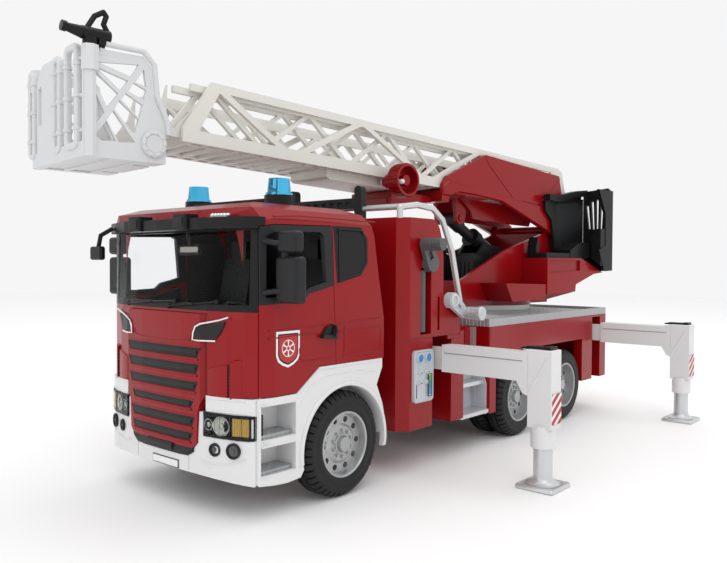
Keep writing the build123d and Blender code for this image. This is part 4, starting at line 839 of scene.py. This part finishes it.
def beam_shell(name, x, s):
    """Arm, post and collar, hollow for the leg; they stand for the source's plainer solid."""
    shell = Piece("beam_shell_" + name)
    for x0, x1, y0, y1, z0, z1 in ARM_WALLS:
        back, front = sorted((x + s * x0, x + s * x1))
        shell.block(s, back, front, y0, y1, z0, z1)
    for web in ARM_WEBS:
        shell.front([(s * y, z) for y, z in web], x - 6.6, x + 6.6)
    shell.solid([post_outline(x, s, inset, z) for inset, z in POST_RINGS], closed=True)
    shell.plan([p[:2] for p in post_outline(x, s, 0.44, 0)], 89.2, 90.3)
    collar = [(8.1, 0.4), (8.1, 14.6), (6.75, 14.6), (6.75, 0.0), (7.7, 0.0)]
    shell.turned((x, s * LEG_SHOWN_Y, 26.4), UP, collar, 40, closed=True)
    for fold_x in (x + 6.9, x - 6.9):
        shell.tube([(fold_x, s * 163.5, 84.5), (fold_x, s * 150.5, 62.0)], 0.4, 6)
    shell.done(WHITE, "beam_" + name, edge=0.25, angle=35, replaces=("stabiliser_beam_" + name,))


# Leg's profile as (radius, height over its start); foot plate's outline, and its scale at each height.
LEG = [(11.2, 0), (11.2, 0.7), (9.8, 1.1), (8.2, 1.9), (7.0, 3.1), (6.45, 4.6), (6.2, 6.4), (6.2, 59.0),
       (5.8, 59.4)]
FOOT = [(-13.4, -12.4), (-12.4, -13.4), (12.4, -13.4), (13.4, -12.4), (13.4, 12.4), (12.4, 13.4),
        (-12.4, 13.4), (-13.4, 12.4)]
FOOT_RINGS = ((0.96, 0.0), (1.0, 0.5), (1.0, 2.0), (0.95, 3.0), (0.90, 3.0), (0.88, 2.5))


def leg_shell(name, x, s):
    """Round leg and its foot plate, in place of the source's thinner leg."""
    leg = Piece("leg_shell_" + name)
    leg.turned((x, s * LEG_SHOWN_Y, 2.6), UP, LEG, 40)
    leg.solid([[(x + a * scale, s * LEG_SHOWN_Y + b * scale, z) for a, b in FOOT] for scale, z in FOOT_RINGS])
    leg.done(SILVER, "leg_" + name, angle=38, replaces=("stabiliser_leg_" + name,))


for beam in BEAMS:
    warning_stripes(*beam)
    beam_trim(*beam)
    beam_shell(*beam)
    leg_shell(*beam)

# Black lower part of the grille, and a stepped bar that hangs over the bumper.
chin = Piece("lower_grille")
for pair in pairs((-31, -26, -12, 0, 12, 26, 31)):
    rings = []
    for y in pair:
        low = 33.4 if abs(y) <= 26 else 36.2
        outline = [(-4.0, low), (0.6, low), (1.3, low + 2.6), (0.2, 39.6), (-1.0, 43.6), (-4.0, 43.6)]
        rings.append(section(BUMPER_LINE, y, outline))
    chin.solid(rings)
chin.side([(80.8, 34.8), (84.3, 34.8), (84.9, 37.4), (84.0, 39.0), (80.8, 39.0)], -13, 13)
chin.done(DARK, edge=0.15, angle=35)

# Rows of small studs on the boarding steps.
studs = Piece("step_studs")
for s, _ in SIDES:
    for z in (27.0, 47.0):
        for i in range(9):
            for j in range(5):
                x, y = 45.5 + i * 2.5 + (j % 2) * 1.1, 63.2 + j * 2.7
                stud = [(0.75, 0), (0.7, 0.55), (0.35, 0.75), (0, 0.75)]
                studs.turned((x, s * y, z - 0.2), UP, stud, 6)
studs.done(SILVER)

# Dark plate on the inside of the cab's rear wall: painted shade for the shaded inside of the cab.
shade_plates = Piece("cab_shade_plates")
shade_plates.side([(-32.2, 88), (-32.2, 110), (-26.4, 140), (-20.6, 168), (-19.6, 168), (-25.4, 140), (-31.2, 110),
             (-31.2, 88)], -68, 68)
shade_plates.done(DARK, edge=0.1)

# Deck's studs: pitch, then the field they fill, clear of the turntable.
STUD_PITCH, DECK_FRONT, DECK_HALF, TURNTABLE_R = 2.7, -174.2, 70.6, 43.4
# Rows of small raised studs between the deck's rims.
studs = Piece("deck_studs")
for i in range(84):
    for j in range(54):
        x, y = -396.4 + i * STUD_PITCH, -71.8 + j * STUD_PITCH + (i % 2) * STUD_PITCH / 2
        if (x - TURN_X) ** 2 + y ** 2 < TURNTABLE_R ** 2 or abs(y) > DECK_HALF or x > DECK_FRONT:
            continue
        studs.solid([[(x - r, y, z), (x, y - r, z), (x + r, y, z), (x, y + r, z)]
                     for r, z in ((0.62, 99.2), (0.3, 99.85))])
studs.done(SILVER)

# Winch: place of the shaft along and above the ladder, and where its coloured bands start.
WINCH_U, WINCH_W, WINCH_RIBS = 168.0, 199.7, 36
BANDS = (("white", WHITE, (26.0, 30.4, 34.8)), ("red", RED, (28.2, 32.6, 37.0)))
# Ribbed rim of the wheel, its knob and the banded shaft.
wheel, across = Piece("winch_ribs", on_ladder), (0, 1, 0)
for k in range(WINCH_RIBS):
    t = 2 * pi * k / WINCH_RIBS
    c, d = cos(t), sin(t)
    rib = ((12.2, -0.55), (13.1, -0.35), (13.1, 0.35), (12.2, 0.55))
    wheel.side([(WINCH_U + c * r - d * w, WINCH_W + d * r + c * w) for r, w in rib], 43.6, 53.4)
rim = [(12.4, -0.4), (12.4, 0.2), (11.6, 0.5), (10.6, 0.2), (10.6, -0.4)]
wheel.turned((WINCH_U, 53.9, WINCH_W), across, rim, 48, closed=True)
wheel.done(RED, "winch", angle=35)
knob = Piece("winch_knob", on_ladder)
profile = [(1.9, -2), (1.9, 3.4), (1.5, 4.3), (0.9, 4.6), (0, 4.7)]
knob.turned((WINCH_U + 6.6, 51.0, WINCH_W - 2.0), across, profile, 24)
knob.done(WHITE, "winch", angle=40)
for label, paint, starts in BANDS:
    shaft = Piece("winch_bands_" + label, on_ladder)
    for y in starts:
        shaft.turned((WINCH_U, y, WINCH_W), across, [(3.4, 0), (3.7, 0.3), (3.7, 1.9), (3.4, 2.2)], 28)
    shaft.done(paint, "winch", angle=40)

# Basket's pivot, along and above the turret's axes.
HUB_A, HUB_Z, HUB_STUDS = 371.4, 215.5, 10
# Ring with studs round each pivot of the basket.
hub = Piece("basket_hub_rings", on_turret)
for s, _ in SIDES:
    y = s * 41.0
    ring = [(7.9, -0.6), (7.9, 0.6), (7.2, 1.0), (5.6, 1.0), (5.2, 0.5), (5.2, -0.6)]
    hub.turned((HUB_A, y, HUB_Z), (0, s, 0), ring, 40, closed=True)
    for k in range(HUB_STUDS):
        t = 2 * pi * k / HUB_STUDS
        foot = orbit(HUB_A, y + s * 0.9, HUB_Z, 6.5, t)
        hub.turned(foot, (0, s, 0), [(0.95, 0), (0.95, 0.5), (0.55, 0.8), (0, 0.8)], 10)
hub.done(BASKET_WHITE, "basket", angle=35)

# Mount's folds as radius and points, and the outline of the plates under it, along the ladder.
MOUNT_FOLDS = ((0.5, ((50.1, 36.5, 236.4), (44, 36.5, 230), (8, 36.5, 205.6), (2, 36.5, 203.2))),
               (0.5, ((100.6, 36.5, 207.4), (50, 36.5, 206.2), (0, 36.5, 203.8), (-72, 36.5, 203.0))),
               (0.45, ((-40, 36.5, 206.0), (-72, 36.5, 232.0))))
EYE_COVER = [(60, 200.6), (36, 200.6), (2, 200.6), (-60, 200.6), (-50, 183), (-14, 182.4), (26, 182.8),
             (40.5, 183.8), (44.5, 190.4)]
# Folds of the mount's red plates and the nose under it.
folds, nose = Piece("mount_folds", on_ladder), Piece("mount_nose", on_ladder)
for s, _ in SIDES:
    folds.creases(s, MOUNT_FOLDS)
folds.done(RED, "ladder", angle=50)
nose.side([(107, 190.5), (107, 195.9), (156, 195.1), (156, 183.2)], -24, 24)
nose.side([(150, 183.6), (150, 190), (157, 190), (157, 183.2)], -20, 20)
nose.done(RED, "ladder", edge=0.5)

# Dark panel that closes the stand's inner cheek.
panel = Piece("stand_panel", on_turret)
panel.side([(-113, 157), (-65, 157), (-61, 176), (-61, 207), (-113, 214)], 39.2, 40.2)
panel.done(DARK, "turret", edge=0.1)

# Red plates beside the cylinder's eye, under the mount.
covers = Piece("eye_covers", on_ladder)
for s, _ in SIDES:
    covers.side(EYE_COVER, s * 14.8, s * 16.4)
covers.done(RED, "ladder", edge=0.3)

# Fins of the drive block, and two short stubs of hose beside the cylinder.
fins = Piece("drive_fins", on_turret)
for k in range(6):
    fins.box(44.0, 45.0, -12 + k * 5, -9.6 + k * 5, 122, 148)
fins.tube([(52, -14.0, 159), (46, -10, 157), (38, -6, 156.4)], 1.2, 10)
fins.tube([(52, -17.5, 159), (44, -17.5, 158), (36, -15, 152), (30, -15.5, 140)], 1.2, 10)
fins.done(BLACK, "turret", edge=0.2, angle=40)

# Red wall behind the side steps' upper part, and the rear body's front edge beside it.
walls = Piece("step_walls")
for s, _ in SIDES:
    walls.block(s, -171.3, -131.9, 56.7, 57.3, 74.6, 95.4)
    walls.block(s, -171.8, -171.0, 56.0, 74.3, 74.6, 95.4)
walls.done(RED, edge=0.15)

# Bright flange on the turntable's ring, with a rounded lip.
flange = Piece("turntable_flange")
profile = [(42.1, 0), (44.6, 0), (44.6, 0.6), (43.0, 1.2), (43.0, 5.6), (42.1, 5.8)]
flange.turned((TURN_X, 0, 101.9), UP, profile, 96, closed=True)
flange.done(SILVER, angle=35)

# Left half of the cab's inner roof, as (across, up).
ROOF_HALF = [(71.0, 167.0), (65.5, 172.8), (55.0, 176.4), (0.0, 177.4)]
# Dark plates on the cab's sides behind the doors, and under its roof: painted shade for the shaded inside of
# the cab.
sides, roof = Piece("cab_shade_plates_sides"), Piece("cab_shade_plates_roof")
for s, _ in SIDES:
    sides.side([(-29.5, 88), (-29.5, 112), (-22.5, 160), (12, 160), (12, 88)], s * 72.0, s * 72.7)
sides.done(DARK, edge=0.1)
arch = ROOF_HALF + [(-y, z) for y, z in reversed(ROOF_HALF[:-1])]
roof.front(arch + [(y * 0.985, z - 0.8) for y, z in reversed(arch)], -7.0, 54.0)
roof.done(DARK, edge=0.1)

# Studio lights: name, place in metres, aimed at, size in metres, power in watts.
LIGHTS = (("key", (0.9, 1.2, 1.6), (0, 0, 0.1), 1.0, 6), ("front", (2.0, -0.3, 0.9), (0.1, 0, 0.1), 1.2, 2),
          ("top", (-0.3, 0.1, 1.9), (0, 0, 0.1), 1.6, 8))
# Camera: its place, its axes and its lens, as fitted to the view.
CAMERA_AT = (334.84, 379.37, 145.12)
CAMERA_AXES = ((-0.65483, 0.75576, 0.00523), (-0.01438, -0.01938, 0.99971), (0.75564, 0.65456, 0.02356))
SENSOR, LENS = 36.0, 36.156

# Pale floor, broad soft lights, and the camera.
mesh = bpy.data.meshes.new("floor")
grid = bmesh.new()
bmesh.ops.create_grid(grid, x_segments=1, y_segments=1, size=3.0)
grid.to_mesh(mesh)
grid.free()
mesh.materials.append(material("floor", (0.96, 0.96, 0.96), 0.6, tint=0.01))
added("floor", mesh)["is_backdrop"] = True
world = bpy.data.worlds.new("studio")
bpy.context.scene.world = world
world.use_nodes = True
sky = world.node_tree.nodes["Background"]
sky.inputs["Color"].default_value = (1, 1, 1, 1)
sky.inputs["Strength"].default_value = 0.92
for name, place, aim, size, power in LIGHTS:
    light = bpy.data.lights.new(name, "AREA")
    light.size = size
    light.energy = power
    o = added(name, light)
    o.location = place
    o.rotation_mode = "QUATERNION"
    o.rotation_quaternion = (Vector(aim) - Vector(place)).to_track_quat("-Z", "Y")
cam = added("camera", bpy.data.cameras.new("camera"))
cam.data.sensor_width = SENSOR
cam.data.lens = LENS
cam.matrix_world = Matrix.Translation(at(*CAMERA_AT)) @ Matrix(CAMERA_AXES).transposed().to_4x4()
cam.data.clip_start = 0.01
bpy.context.scene.camera = cam
bpy.context.scene.view_settings.view_transform = "Standard"

low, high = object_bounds()
